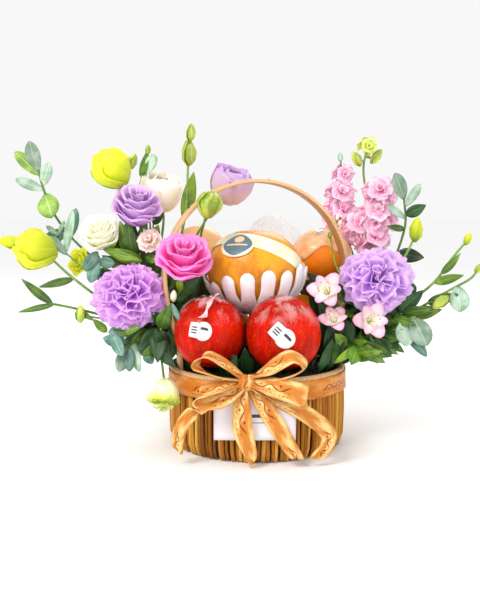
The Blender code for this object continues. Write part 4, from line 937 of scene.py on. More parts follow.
# Single leaves in front of the bunches: foot, tip, width, finish
SINGLE_LEAVES = {
    "left": [
        ((-211, -8, 211), (-201, -12, 257), 10, "sage"), ((-210, -8, 209), (-226, -14, 230), 10, "sage"),
        ((-175, -14, 213), (-188, -24, 194), 14, "teal"), ((-175, -14, 206), (-181, -28, 180), 14, "teal"),
        ((-173, -14, 203), (-155, -26, 200), 13, "teal"), ((-165, -12, 213), (-125, -26, 204), 10, "bright"),
        ((-167, -12, 213), (-151, -18, 230), 9, "bright"), ((-137, -4, 206), (-141, -14, 246), 17, "green"),
        ((-133, -2, 209), (-121, -10, 248), 13, "green"), ((-116, 6, 242), (-104, 0, 258), 10, "dark"),
        ((-122, -14, 208), (-107, -30, 203), 10, "bright"), ((-89, -22, 159), (-63, -40, 187), 16, "dark"),
        ((-84, -30, 170), (-83, -42, 192), 8, "bright"), ((-108, -10, 168), (-100, -20, 195), 15, "dark"),
        ((-91, -50, 160), (-82, -62, 143), 6, "teal"), ((-126, 30, 299), (-115, 26, 321), 13, "sage"),
        ((-132, 30, 294), (-123, 28, 326), 9, "green"), ((-161, -22, 128), (-146, -40, 102), 14, "teal"),
        ((-140, -26, 109), (-138, -42, 85), 12, "teal"), ((-114, -26, 127), (-134, -50, 118), 15, "green"),
        ((-105, -36, 112), (-124, -54, 105), 13, "green"), ((-120, -30, 106), (-113, -50, 95), 13, "teal"),
        ((-165, -22, 125), (-178, -34, 141), 10, "bright"), ((-99, -30, 134), (-113, -48, 151), 15, "dark"),
        ((-97, -36, 113), (-109, -54, 132), 14, "dark"), ((-102, -52, 107), (-86, -66, 95), 11, "dark"),
        ((-144, -26, 126), (-125, -50, 136), 9, "bright"), ((-220, -4, 231), (-232, -8, 241), 6, "sage"),
        ((-220, -4, 231), (-213, -2, 246), 5, "sage"),
        # These wide dark leaves fill the shadowed gaps beside and behind the fruit: painted shade.
        ((-84, 4, 150), (-62, -16, 186), 18, "dark"), ((-88, 0, 160), (-72, -8, 196), 16, "dark"),
        ((-92, -6, 118), (-78, -10, 162), 20, "dark"), ((-80, 20, 120), (-66, -6, 168), 18, "dark"),
        ((-96, -30, 96), (-97, -34, 128), 18, "dark"), ((-80, 10, 130), (-63, 0, 178), 22, "dark"),
        ((-86, -10, 140), (-67, -26, 180), 18, "dark"),
        ((-92, 40, 152), (-42, 50, 176), 20, "dark"), ((-90, 30, 160), (-56, 40, 188), 17, "dark"),
        ((-88, 42, 150), (-44, 42, 166), 12, "dark"),
        ((-126, -8, 202), (-168, -20, 216), 15, "bright"), ((-138, 0, 206), (-151, -8, 246), 17, "bright"),
        ((-146, 2, 202), (-159, -4, 238), 16, "dark"), ((-138, 4, 204), (-143, 6, 254), 18, "dark"),
        ((-148, 4, 178), (-188, -2, 194), 15, "dark"), ((-140, 2, 190), (-172, -4, 208), 14, "green"),
        ((-121, 6, 214), (-109, -2, 242), 15, "bright"), ((-126, 6, 190), (-118, 2, 230), 16, "dark"),
        ((-116, 8, 180), (-106, 0, 222), 15, "green"), ((-134, 6, 186), (-156, 2, 214), 14, "dark")],
    "right": [
        ((88, -30, 109), (79, -52, 96), 10, "green"), ((96, -30, 111), (82, -52, 128), 13, "bright"),
        ((98, -24, 139), (100, -50, 120), 13, "dark"), ((98, -30, 111), (116, -50, 120), 10, "bright"),
        ((104, -36, 99), (131, -60, 111), 12, "bright"), ((120, -32, 111), (127, -58, 97), 14, "bright"),
        ((130, -24, 119), (143, -48, 102), 14, "dark"), ((158, -8, 145), (181, -22, 171), 16, "dark"),
        ((161, -8, 144), (189, -26, 151), 13, "green"), ((150, -10, 140), (172, -30, 134), 11, "green"),
        ((101, -30, 104), (91, -50, 95), 10, "dark"), ((107, -30, 120), (97, -54, 104), 13, "green"),
        ((103, -10, 159), (88, -20, 179), 10, "dark"), ((105, -10, 161), (114, -26, 178), 10, "green"),
        # From the second leaf on this line on, the wide dark leaves fill the shadowed gaps round the fruit:
        # painted shade.
        ((176, 0, 163), (163, -6, 180), 15, "dark"), ((84, -34, 92), (74, -44, 132), 18, "dark"),
        ((88, -28, 96), (78, -38, 148), 20, "dark"), ((90, -10, 96), (72, -24, 150), 20, "dark"),
        ((92, 0, 110), (80, -20, 168), 20, "dark"), ((96, -20, 100), (90, -34, 140), 18, "dark"),
        ((80, 24, 128), (60, 8, 178), 22, "dark"), ((88, 6, 130), (70, -8, 180), 20, "dark"),
        ((84, -20, 120), (66, -34, 166), 16, "dark"),
        ((76, -16, 92), (73, -22, 144), 22, "dark"),
        ((94, 40, 156), (46, 46, 176), 19, "dark"), ((92, 30, 160), (58, 30, 186), 17, "dark"),
        ((90, 42, 150), (46, 42, 166), 12, "dark")],
}
TWIGS = {
    "left": [[(-211, -8, 211), (-185, -6, 188), (-135, 10, 150)],
             [(-175, -14, 210), (-160, -4, 180), (-130, 12, 150)],
             [(-140, -2, 210), (-128, 8, 180), (-120, 20, 150)],
             [(-126, 30, 300), (-122, 26, 250), (-118, 30, 160)],
             [(-116, 6, 242), (-116, 12, 200), (-116, 24, 160)],
             [(-84, -30, 170), (-92, -14, 158), (-108, 10, 142)],
             [(-161, -22, 128), (-144, -8, 124), (-128, 14, 126)],
             [(-98, -36, 113), (-104, -16, 118), (-112, 8, 126)],
             [(-194, -20, 145), (-176, -10, 139), (-140, 14, 134)]],
    "right": [[(85, 36, 229), (88, 10, 200), (93, -16, 184), (106, -4, 160), (116, 12, 144)],
              [(160, -8, 145), (150, 6, 138), (138, 20, 132)], [(176, 0, 163), (160, 8, 150), (140, 24, 138)],
              [(104, -34, 104), (110, -14, 112), (118, 10, 122)]],
}
BERRIES = {
    "left": [((-90, -40, 167), 7, "cream"), ((-194, -20, 145), 11, "bud"), ((-123, 28, 326), 6, "bud")],
    "right": [((96, 60, 250), 4, "cream"), ((92, 56, 244), 4, "bud"), ((99, 57, 243), 4, "cream"),
              ((94, 52, 238), 4, "bud"), ((85, 36, 230), 5, "bud")],
}


NECK = 7.5 * MM
LOWEST_TIP = 92 * MM
SHELLS = ((150, 17), (90, 10))      # leaves tried in each shell, and the least reach of a tip in mm
SHELL_FINISHES = ("green", "dark", "dark", "green", "teal", "bright")


def make_greenery(side):
    """A bunch's leafy foot: a dark core that is painted shade inside the bunch, its neck, and the leaves
    round it and in front of it.
    """
    draw = random.Random(5)
    core = GREENERY[side]
    # The core is a near-black green ball inside the leaves: painted shade deep in the bunch.
    bpy.ops.mesh.primitive_ico_sphere_add(subdivisions=3, radius=1, location=core, scale=GREENERY_RADII * 0.9)
    parts = [tagged(bpy.context.object, FINISH["dark"], 0.2)]
    parts.append(stalk(smooth_path([mm(p) for p in NECKS[side]], 4), NECK, FINISH["dark"], 0.2))
    for twig in TWIGS[side]:
        parts.append(stalk(smooth_path([mm(p) for p in twig], 5), SIDE_STEM, FINISH["stem"], 0.6, 0.6))
    for place, size, finish in BERRIES[side]:
        parts += petals("bud", place, (0.1, -0.3, 1), size, FINISH[finish], draw)
    for foot, tip, width, finish in SINGLE_LEAVES[side]:
        parts.append(leaf_of(finish, mm(foot), mm(tip), width * MM, draw))
    for total, reach in SHELLS:
        for i in range(total):
            out = sphere_way(math.acos(0.95 - 1.9 * (i + 0.5) / total), GOLDEN * i)
            lean = Vector((draw.uniform(-1, 1), draw.uniform(-1, 1), draw.uniform(-0.7, 0.8)))
            surface = core + Vector(o * r for o, r in zip(out, GREENERY_RADII))
            tip = surface + (out + 0.9 * lean).normalized() * draw.uniform(reach, 1.7 * reach) * MM
            finish = draw.choice(SHELL_FINISHES)
            if is_free(tip) and is_free((surface + tip) / 2) and tip.z > LOWEST_TIP:
                foot = surface - out * 4 * MM
                parts.append(leaf_of(finish, foot, tip, draw.uniform(10, 16) * MM, draw, out + 0.3 * lean))
    return dress(joined("leaves_" + side, parts, LEAF_THICKNESS), "leaf", "greenery_" + side)


for side in GREENERY:
    make_greenery(side)

# %% [markdown]
# Inside the rim the fruit lies on dark packing, with cut leaves pushed into it. The packing's
# solid keeps its shape and gets a crumpled dark finish, and leaves are laid on it.

# %% The packing
PACKING, tree, shader = new_finish("dark_packing", Roughness=0.7)
folds = use(tree, blotches, Vector=object_place(tree), Scale=90.0, Low=0.35, High=0.65)
paint(tree, shader, mix(tree, folds, rgb(0.006, 0.012, 0.006), rgb(0.03, 0.06, 0.025)))
bump(tree, shader, folds, 0.8, 0.003)
packing = frame["nodes"]["filling"]
packing.data.materials.clear()
packing.data.materials.append(PACKING)

LYING, STANDING = 150, 170          # leaves tried that lie on the packing, and that stand in it
PACKING_TOP, PACKING_REACH = 83 * MM, 82 * MM
draw = random.Random(11)
parts = []
for i in range(LYING + STANDING):
    lies = i < LYING
    turn = draw.uniform(0, 2 * math.pi)
    reach = math.sqrt(draw.uniform(0.12, 1)) * PACKING_REACH
    foot = round_way(turn) * reach + UP * PACKING_TOP
    way = round_way(draw.uniform(0, 2 * math.pi))
    rise = draw.uniform(0.15, 0.9) if lies else draw.uniform(1.2, 3)
    tip = foot + (way + UP * rise).normalized() * draw.uniform(24, 34 + rise * 16) * MM
    inside = math.hypot(tip.x, tip.y) < (87 if tip.z < 98 * MM else 100) * MM
    if inside and is_free(tip, 3 * MM) and is_free((foot + tip) / 2, 3 * MM):
        hint = UP if lies else Vector((foot.x, foot.y, 0)) + FRONT * 40 * MM
        parts.append(leaf_of("dark", foot, tip, draw.uniform(10, 17) * MM, draw, hint))
# Two wide dark leaves fill the shadowed gaps between the fruit: painted shade.
for foot, tip in (((2, 62, 88), (-2, 58, 150)), ((-6, 24, 88), (4, 16, 134))):
    parts.append(leaf_of("dark", mm(foot), mm(tip), 22 * MM, draw))
dress(joined("packing_leaves", parts, LEAF_THICKNESS), "leaf")

# %% [markdown]
# The basket is a wall of dry reeds that stand side by side, each a little bent and of its own
# colour, before a dark lining. One reed is modelled and copied round the wall. The rim is bound
# with a pale hoop.

# %% The basket
WALL = ((0, 94), (12, 98.5), (45, 99.3), (87, 98))     # height and outer radius, in mm
REEDS = 128
REED_TOP = 84 * MM


def wall_radius(height):
    """The wall's outer radius at a height, both in metres."""
    for (low, first), (high, second) in zip(WALL, WALL[1:]):
        if height <= high * MM:
            return (first + (second - first) * (height / MM - low) / (high - low)) * MM
    return WALL[-1][1] * MM


STRAW, tree, shader = new_finish("straw_reed", Roughness=0.55, Specular_IOR_Level=0.1)
grain = use(tree, streaks, Vector=object_place(tree, (1, 1, 0.06)), Scale=900.0, Blur=0.22)
shade = use(tree, blotches, Vector=object_place(tree, (1, 1, 0.25)), Scale=120.0, Low=0.35, High=0.7)
straw = ramp(tree, own_tone(tree), (0.0, (0.07, 0.01, 0.003)), (0.3, (0.29, 0.075, 0.005)),
             (0.65, (0.47, 0.18, 0.012)), (1.0, (0.8, 0.45, 0.08)))
straw = mix(tree, calc(tree, "MULTIPLY", shade, 0.35), straw, rgb(0.44, 0.13, 0.02))
straw = mix(tree, calc(tree, "MULTIPLY", grain, 0.4), straw, rgb(0.64, 0.32, 0.06))
paint(tree, shader, straw)
bump(tree, shader, grain, 0.5, 0.0005)

LINING, tree, shader = new_finish("dark_lining", Roughness=0.85)
paint(tree, shader, blotched(tree, 60.0, (0.06, 0.022, 0.008), (0.16, 0.06, 0.02)))

bpy.ops.mesh.primitive_cylinder_add(vertices=7, radius=1, depth=2)
reed_model = bpy.context.object
cut_across((-0.75, -0.5, -0.25, 0.0, 0.25, 0.5, 0.75))
reed_model.hide_render = True

draw = random.Random(3)
parts = []
for i in range(REEDS):
    turn = 2 * math.pi * (i + draw.uniform(-0.25, 0.25)) / REEDS
    thick = draw.uniform(1.6, 2.5) * MM
    depth = draw.uniform(0.1, 1.3) * MM
    lean = draw.uniform(-0.012, 0.012)
    low = draw.uniform(0.4, 1.5) * MM
    wobble, phase = draw.uniform(0, 0.004), draw.uniform(0, 6)
    reed = copy_of(reed_model)
    for vertex in reed.data.vertices:
        share = (vertex.co.z + 1) / 2
        height = low + (REED_TOP - low) * share
        out = round_way(turn + lean * (share - 0.5) * 2 + wobble * math.sin(5 * share + phase))
        over = Vector((-out.y, out.x, 0))
        middle = out * (wall_radius(height) - thick - depth)
        vertex.co = middle + (out * vertex.co.x + over * vertex.co.y) * thick + UP * height
    parts.append(tagged(reed, STRAW, min(1, max(0, draw.gauss(0.55, 0.32)))))

LINING_FOOT, LINING_DEPTH, LINING_THICKNESS = 1.2 * MM, 5.4 * MM, 1.6 * MM
bpy.ops.mesh.primitive_cylinder_add(vertices=64, radius=1, depth=2)
lining = bpy.context.object
cut_across((-0.97, -0.86, -0.4, 0.3))
for vertex in lining.data.vertices:
    height = LINING_FOOT + (REED_TOP - LINING_FOOT) * (vertex.co.z + 1) / 2
    out = Vector((vertex.co.x, vertex.co.y, 0)).normalized()
    vertex.co = out * (wall_radius(height) - LINING_DEPTH) + UP * height
alone(lining)
bpy.ops.object.mode_set(mode="EDIT")
bpy.ops.mesh.select_mode(type="FACE")
bpy.ops.mesh.select_all(action="DESELECT")
bpy.ops.object.mode_set(mode="OBJECT")
max(lining.data.polygons, key=lambda face: face.center.z).select = True
bpy.ops.object.mode_set(mode="EDIT")
bpy.ops.mesh.delete(type="FACE")
bpy.ops.object.mode_set(mode="OBJECT")
modify(lining, "SOLIDIFY", thickness=LINING_THICKNESS, offset=-1)
parts.append(tagged(lining, LINING, 0.5))
dress(joined("reed_wall", parts), "reeds", "basket")

HOOP, tree, shader = new_finish("rim_binding", Roughness=0.65)
fibres = use(tree, streaks, Vector=object_place(tree, (1, 1, 0.3)), Scale=500.0, Blur=0.3)
paint(tree, shader, mix(tree, fibres, rgb(0.42, 0.22, 0.08), rgb(0.78, 0.54, 0.26)))
bump(tree, shader, fibres, 0.5, 0.0006)
HOOP_RADIUS, HOOP_THICKNESS, HOOP_HEIGHT = 95.2 * MM, 7.2 * MM, 84.6 * MM
bpy.ops.mesh.primitive_torus_add(major_segments=128, minor_segments=10, major_radius=HOOP_RADIUS,
                                 minor_radius=HOOP_THICKNESS / 2, location=(0, 0, HOOP_HEIGHT))
dress(joined("rim_hoop", [tagged(bpy.context.object, HOOP, 0.5)]), "reeds")

# %% [markdown]
# The handle is a strip of wood bent into an arch, pale outside and browner inside, the brown
# being painted shade, and held by small dark pins. It is a long grid laid along the arch,
# thickened and bevelled.

# %% The handle
YAW = math.radians(14)
FOOT_REACH, FOOT_HEIGHT = 87.8 * MM, 45 * MM
RIM, SHOULDER, TOP = 87 * MM, 185 * MM, 290 * MM
REACH = 104.5 * MM
LEG = 0.4                   # the share of each half that is a leg, below the round part
HANDLE_WIDTH, HANDLE_THICKNESS = 20 * MM, 4 * MM


def handle_point(t):
    """The arch's middle line: t runs from -1 at the left foot to 1 at the right."""
    side = abs(t)
    if side > 1 - LEG:
        height = FOOT_HEIGHT + (SHOULDER - FOOT_HEIGHT) * (1 - side) / LEG
        share = max(0, (height - RIM) / (SHOULDER - RIM))
        reach = FOOT_REACH + (REACH - FOOT_REACH) * ease(share)
    else:
        angle = math.pi / 2 * (1 - side / (1 - LEG))
        reach, height = REACH * math.cos(angle), SHOULDER + (TOP - SHOULDER) * math.sin(angle)
    return round_way(YAW) * math.copysign(reach, t) + UP * height


def wood(name, pale, brown):
    """Bent wood with long grain."""
    made, tree, shader = new_finish(name, Roughness=0.5)
    grain = use(tree, streaks, Vector=own_uv(tree, (16, 6, 1)), Scale=1.0, Blur=0.3)
    paint(tree, shader, mix(tree, grain, rgb(*brown), rgb(*pale)))
    bump(tree, shader, grain, 0.3, 0.0004)
    return made


ACROSS = round_way(YAW + math.pi / 2)
arch = shaped(grid(3, 110), wood("pale_wood", (0.84, 0.58, 0.31), (0.6, 0.33, 0.12)), 0.5,
              lambda u, v: handle_point(2 * v - 1) + ACROSS * u * HANDLE_WIDTH / 2)
# The second, browner copy of the wood is painted shade for the handle's inner face.
arch.data.materials.append(wood("brown_wood_painted_shade", (0.6, 0.31, 0.12), (0.4, 0.17, 0.05)))
handle = joined("handle_strip", [arch])
modify(handle, "SOLIDIFY", thickness=HANDLE_THICKNESS, offset=0)
modify(handle, "BEVEL", width=0.7 * MM, segments=2, limit_method="ANGLE")
ARCH_MIDDLE = mm((0, 0, 150))
# Faces turned towards the arch's middle get the browner wood: painted shade.
for face in handle.data.polygons:
    inward = (ARCH_MIDDLE - face.center).normalized()
    face.material_index = int(face.normal.dot(inward) > 0.3)
dress(handle, "handle", "handle")

PIN, tree, shader = new_finish("dark_pin", Roughness=0.35, Metallic=0.7)
paint(tree, shader, blotched(tree, 900.0, (0.03, 0.02, 0.015), (0.09, 0.06, 0.05)))
PIN_RADIUS, PIN_LIFT = 1.2 * MM, 1.9 * MM
pins = []
for t, off in ((-0.47, -5), (-0.3, 5), (-0.115, -5), (0.045, -4), (0.3, -5), (0.5, 5)):
    here, ahead = handle_point(t), handle_point(t + 0.01)
    out = ACROSS.cross(ahead - here).normalized()
    out = out if out.z > 0 else -out
    bpy.ops.mesh.primitive_uv_sphere_add(segments=10, ring_count=6, radius=PIN_RADIUS,
                                         location=here + out * PIN_LIFT + ACROSS * off * MM)
    pins.append(tagged(bpy.context.object, PIN, 0.5))
dress(joined("handle_pins", pins), "handle")

# %% [markdown]
# The fruit. An apple is a ball drawn in at both ends, a little ribbed at its shoulders, and its
# red is broken by orange and yellow streaks that run from the stem. The oranges have pores, one
# of them is pale peach all over, the right one has a pale peach cap of wrap that is a painted
# highlight, and the pear is golden with pale specks.

# %% The fruit


def fruit_skin(name, colours, streak, roughness, pores, centre, coat=0.0, gloss=0.2):
    """A fruit's skin: blotches of three colours, streaks from pole to pole and pores."""
    made, tree, shader = new_finish(name, Roughness=roughness, Coat_Weight=coat, Coat_Roughness=0.08,
                                    Specular_IOR_Level=gloss)
    place = object_place(tree, shift=-centre)
    wide = use(tree, blotches, Vector=place, Scale=26.0, Low=0.38, High=0.68)
    colour = mix(tree, wide, rgb(*colours[0]), rgb(*colours[1]))
    stretched = node(tree, "Mapping", {"Vector": place, "Scale": (1, 1, streak)}).outputs[0]
    fine = use(tree, streaks, Vector=stretched, Scale=180.0, Blur=0.2)
    colour = mix(tree, calc(tree, "MULTIPLY", fine, 0.4), colour, rgb(*colours[2]))
    dots = use(tree, specks, Vector=place, Scale=pores, Size=0.3)
    paint(tree, shader, mix(tree, calc(tree, "MULTIPLY", dots, 0.5), colour, rgb(*colours[3])))
    bump(tree, shader, dots, 0.25, -0.0004)
    return made


def fruit(name, dimple, ribs, flat, axis, material, slot_name):
    """A fruit turned from a ball: dimpled at its ends and faintly ribbed."""
    centre, radii = FRUIT[name]
    bpy.ops.mesh.primitive_uv_sphere_add(segments=48, ring_count=32, radius=1)
    ball = bpy.context.object
    matrix = turned_to(axis, centre)
    for vertex in ball.data.vertices:
        x, y, z = vertex.co
        reach = math.hypot(x, y)
        rib = 1 + ribs * math.cos(5 * math.atan2(y, x)) * max(0, abs(z) - 0.2) * reach
        well = dimple * math.exp(-(reach / 0.3) ** 2)
        vertex.co = matrix @ (radii.x * Vector((x * rib, y * rib, flat * z - math.copysign(well, z))))
    return dress(joined(name + "_skin", [tagged(ball, material, 0.5)]), slot_name, name)


def on_fruit(name, direction, lift):
    """The point of a fruit's ball along a direction from its middle, raised by lift."""
    centre, radii = FRUIT[name]
    direction = direction.normalized()
    length = Vector(d / r for d, r in zip(direction, radii)).length
    return centre + direction / length + direction * lift


# Four colours each: the blotches' two, the streaks' and the pores'
REDS = ((0.36, 0.0, 0.002), (0.68, 0.001, 0.001), (0.8, 0.05, 0.002), (0.86, 0.2, 0.01))
ORANGES = ((0.92, 0.18, 0.003), (1.0, 0.3, 0.006), (1.0, 0.38, 0.02), (0.8, 0.14, 0.003))
PEACHES = ((0.92, 0.46, 0.16), (0.95, 0.58, 0.28), (0.96, 0.7, 0.42), (0.84, 0.4, 0.14))
GOLDS = ((0.6, 0.17, 0.008), (0.9, 0.38, 0.012), (0.95, 0.52, 0.04), (0.92, 0.6, 0.16))
for name, axis in (("apple_left", (0.1, 0.35, 0.95)), ("apple_right", (-0.15, 0.3, 0.95))):
    skin = fruit_skin(name + "_red", REDS, 0.12, 0.3, 260.0, FRUIT[name][0], coat=0.12, gloss=0.03)
    fruit(name, 0.2, 0.03, 1.03, axis, skin, "apple_skin")
for name in ("orange_right", "orange_left", "orange_low_right", "orange_low_left"):
    colours = PEACHES if name == "orange_left" else ORANGES
    skin = fruit_skin(name + "_peel", colours, 1.0, 0.4, 520.0, FRUIT[name][0], coat=0.2)
    fruit(name, 0.04, 0.0, 0.94, (0, 0.2, 1), skin, "orange_peel")
skin = fruit_skin("pear_gold", GOLDS, 0.5, 0.42, 300.0, FRUIT["pear"][0], coat=0.15)
fruit("pear", 0.05, 0.0, FRUIT["pear"][1].z / FRUIT["pear"][1].x, UP, skin, "pear_skin")

# %% [markdown]
# Round the pear there is a cream paper strip, and a foam cup whose fingers hold it from below.
# Both are grids laid on the pear's round surface and lifted a little off it.

# %% The pear's paper strip and foam cup
PAPER, tree, shader = new_finish("cream_paper", Roughness=0.45)
paint(tree, shader, blotched(tree, 60.0, (0.93, 0.88, 0.55), (0.96, 0.93, 0.7)))
bump(tree, shader, use(tree, blotches, Vector=object_place(tree), Scale=720.0), 0.2, 0.0003)
STRIP_AXIS = Vector((0.32, 0.42, 0.83)).normalized()
STRIP_SIDE = STRIP_AXIS.cross(FRONT).normalized()
STRIP_FRONT = STRIP_SIDE.cross(STRIP_AXIS)
STRIP_LEVEL, STRIP_HALF_WIDTH = 0.26, 0.18      # along the axis, in shares of the pear's radius


def strip_form(u, v):
    """The paper strip: round the leaning axis, between two heights."""
    turn = (2 * v - 1) * math.pi * 0.97
    level = STRIP_LEVEL + STRIP_HALF_WIDTH * u
    out = math.cos(turn) * STRIP_FRONT + math.sin(turn) * STRIP_SIDE
    return on_fruit("pear", out * math.sqrt(1 - level * level) + STRIP_AXIS * level, 0.7 * MM)


dress(joined("pear_strip", [shaped(grid(6, 90), PAPER, 0.5, strip_form)], 0.4 * MM), "paper")

FOAM, tree, shader = new_finish("white_foam", Roughness=0.75, Subsurface_Weight=0.2, Subsurface_Scale=0.006)
net = node(tree, "TexVoronoi", {"Vector": own_uv(tree, (9, 30, 1)), "Scale": 1.0})
paint(tree, shader, blotched(tree, 30.0, (0.86, 0.76, 0.8), (0.93, 0.9, 0.93)))
bump(tree, shader, net.outputs["Distance"], 0.4, 0.0008)
CUP_FINGERS = 16
FOAM_THICKNESS = 2.4 * MM
CUP_GAP = 3.4 * MM              # from the pear's skin to the middle of the foam
FINGER_FOOT = 178               # where the fingers start, in degrees from the pear's top
finger_grid = grid(8, 40)


def foam_finger(middle, tip, swell):
    """One finger of the cup, up to its tip angle, narrowed in its upper half and round at its end."""

    def form(u, v):
        polar = math.radians(FINGER_FOOT + (tip - FINGER_FOOT) * v)
        taper = 1.02 - 0.34 * ease(min(1, max(0, (v - 0.52) / 0.25)))
        taper *= math.sqrt(max(0.01, 1 - max(0, (v - 0.9) / 0.1) ** 2))
        out = sphere_way(polar, middle + u * math.pi / CUP_FINGERS * taper)
        round_back = 1.2 * MM * (1 - u * u) * v
        return on_fruit("pear", out, CUP_GAP + round_back + swell * v * v)

    return shaped(finger_grid, FOAM, 0.5, form)


draw = random.Random(21)
parts = []
for i in range(CUP_FINGERS):
    middle = 2 * math.pi * (i + 0.5) / CUP_FINGERS - math.pi / 2 + math.radians(3)
    tip = 92 - 8 * math.cos(middle) + draw.uniform(-4, 4)
    parts.append(foam_finger(middle, tip, draw.uniform(0.2, 1.6) * MM))
dress(joined("foam_fingers", parts, FOAM_THICKNESS), "foam", "foam_cup")

# %% [markdown]
# A label is a small piece of paper with plain fields of colour: bars on the apples' labels, which
# have one round end, and a pale rim with an orange spot and bar on the pear's oval. Each is a
# grid laid on the fruit, and its colours are masks on its own UV map.

# %% The labels
RIM_START = 0.44            # where a label's rim begins, from its middle, in shares of its width


def label_finish(name, ground, rim, mark, bars):
    """A label with a rim, and either bars or a round spot of colour."""
    made, tree, shader = new_finish(name, Roughness=0.35, Coat_Weight=0.2)
    uv = own_uv(tree, shift=(-0.5, -0.5, 0))
    away = node(tree, "VectorMath", {0: uv}, operation="LENGTH").outputs["Value"]
    parts = node(tree, "SeparateXYZ", {0: uv})
    across, up = parts.outputs[0], parts.outputs[1]
    if bars:
        stripes = calc(tree, "GREATER_THAN", calc(tree, "COSINE", calc(tree, "MULTIPLY", up, 36.0)), -0.1)
        stripes = calc(tree, "MULTIPLY", stripes, within(tree, across, -0.27, 0.13))
        stripes = calc(tree, "MULTIPLY", stripes, within(tree, up, 0.0, 0.26))
        thick_bar = calc(tree, "MULTIPLY", within(tree, across, 0.16, 0.16), within(tree, up, 0.14, 0.07))
        mask = calc(tree, "MAXIMUM", stripes, thick_bar)
    else:
        spot = node(tree, "CombineXYZ", {0: calc(tree, "SUBTRACT", across, 0.02),
                                         1: calc(tree, "SUBTRACT", up, 0.2)})
        to_spot = node(tree, "VectorMath", {0: spot.outputs[0]}, operation="LENGTH").outputs["Value"]
        bar = calc(tree, "MULTIPLY", within(tree, up, -0.04, 0.03), within(tree, across, 0.0, 0.3))
        mask = calc(tree, "MAXIMUM", calc(tree, "LESS_THAN", to_spot, 0.15), bar)
    colour = mix(tree, mask, rgb(*ground), rgb(*mark))
    paint(tree, shader, mix(tree, calc(tree, "GREATER_THAN", away, RIM_START), colour, rgb(*rim)))
    bump(tree, shader, use(tree, blotches, Vector=object_place(tree), Scale=300.0), 0.1, 0.0002)
    return made


def oval(u, v):
    """A point of a square, from -1 to 1 across and 0 to 1 along, drawn in to an oval."""
    y = 2 * v - 1
    return u * math.sqrt(1 - 0.48 * y * y), y * math.sqrt(1 - 0.48 * u * u)


def tab(u, v):
    """The same, drawn in to a tab with one round end."""
    half = 0.8 if u < -0.15 else math.sqrt(max(0.002, 1 - ((u - 0.25) / 0.75) ** 2))
    return u, (2 * v - 1) * half


def label(name, fruit_name, aim, size, lean, outline, material, slot_name, lift):
    """A label laid on a fruit where aim points, turned by lean in its own plane."""
    aim = Vector(aim).normalized()
    side = UP.cross(aim).normalized()
    turn = Matrix.Rotation(lean, 3, aim)
    side, above = turn @ side, turn @ aim.cross(side).normalized()
    width, height = (length / 2 * MM for length in size)
    centre = aim * FRUIT[fruit_name][1].x

    def form(u, v):
        x, y = outline(u, v)
        return on_fruit(fruit_name, centre + side * x * width + above * y * height, lift * MM)

    body = shaped(grid(24, 12), material, 0.5, form)
    return dress(joined(name, [body], 0.3 * MM), slot_name, name.replace("_print", ""))


WHITE_LABEL = label_finish("apple_label", (0.84, 0.82, 0.86), (0.9, 0.89, 0.92), (0.02, 0.03, 0.05), True)
OVAL_LABEL = label_finish("pear_label", (0.1, 0.17, 0.21), (0.8, 0.8, 0.6), (0.9, 0.6, 0.34), False)
for name, aim, size, lean in (("apple_left", (-0.22, -0.95, 0.2), (25, 20), -0.14),
                              ("apple_right", (-0.07, -0.98, 0.1), (29, 21), -0.75)):
    label(f"label_{name}_print", name, aim, size, lean, tab, WHITE_LABEL, "paper", 0.5)
label("label_pear_print", "pear", (-0.37, -0.71, 0.59), (42, 35), 0.05, oval, OVAL_LABEL, "label", 1.4)

# %% [markdown]
# Clear wrap is a thin skin that is almost unseen but for its glints and whitish folds. Here it
# is a see-through sheet whose folds are painted pale and more solid than the rest, as painted
# glints: a tall crumpled lump behind the pear, and a shell round each apple whose painted glints
# show only near its top. The left apple's ends in a twisted tail. The cap on the right orange
# is a thicker wrap painted pale peach, a painted highlight on its top.

# %% The clear wrap


def wrap_finish(name, haze, alpha, fold=(0.97, 0.97, 0.99), heights=None, tall=1.0, relief=0.9):
    """Thin film with pale folds painted as glints: alpha is its least and greatest, and it fades in between
    two heights.
    """
    made, tree, shader = new_finish(name, Roughness=0.16, Specular_IOR_Level=0.3)
    place = object_place(tree, (1, 1, tall))
    folds = use(tree, streaks, Vector=place, Scale=55.0, Blur=0.12)
    # Painted glints: where the folds are, the film turns pale and more solid.
    paint(tree, shader, mix(tree, folds, rgb(*haze), rgb(*fold)))
    clear = node(tree, "MapRange", {"Value": folds, "To Min": alpha[0], "To Max": alpha[1]}).outputs[0]
    if heights:
        level = node(tree, "SeparateXYZ", {0: node(tree, "TexCoord", {}).outputs["Object"]}).outputs[2]
        share = node(tree, "MapRange", {"Value": level, "From Min": heights[0], "From Max": heights[1]})
        clear = calc(tree, "MULTIPLY", clear, share.outputs[0])
    tree.links.new(clear, shader.inputs["Alpha"])
    bump(tree, shader, folds, relief, 0.002)
    return made


WRAP = wrap_finish("clear_wrap", (0.93, 0.93, 0.96), (0.08, 0.32), tall=0.2)
WRAP_CENTRE, WRAP_RADII = mm((20, 84, 173)), mm((42, 25, 80))
WRAP_ROOM = 2.4 * MM            # how far the film stays off the fruit
bpy.ops.mesh.primitive_uv_sphere_add(segments=48, ring_count=40, radius=1)
lump = bpy.context.object
for vertex in lump.data.vertices:
    x, y, z = vertex.co
    angle = math.atan2(y, x)
    fold = 1 + 0.09 * math.sin(7 * angle + 3 * z) + 0.05 * math.sin(15 * angle - 6 * z)
    fold += 0.05 * math.sin(11 * z)
    point = WRAP_CENTRE + Vector((x * WRAP_RADII.x * fold, y * WRAP_RADII.y * fold, z * WRAP_RADII.z))
    for centre, radii in FRUIT.values():
        away = point - centre
        size = Vector(a / (r + WRAP_ROOM) for a, r in zip(away, radii)).length
        if size < 1:
            point = centre + away / size
    vertex.co = point
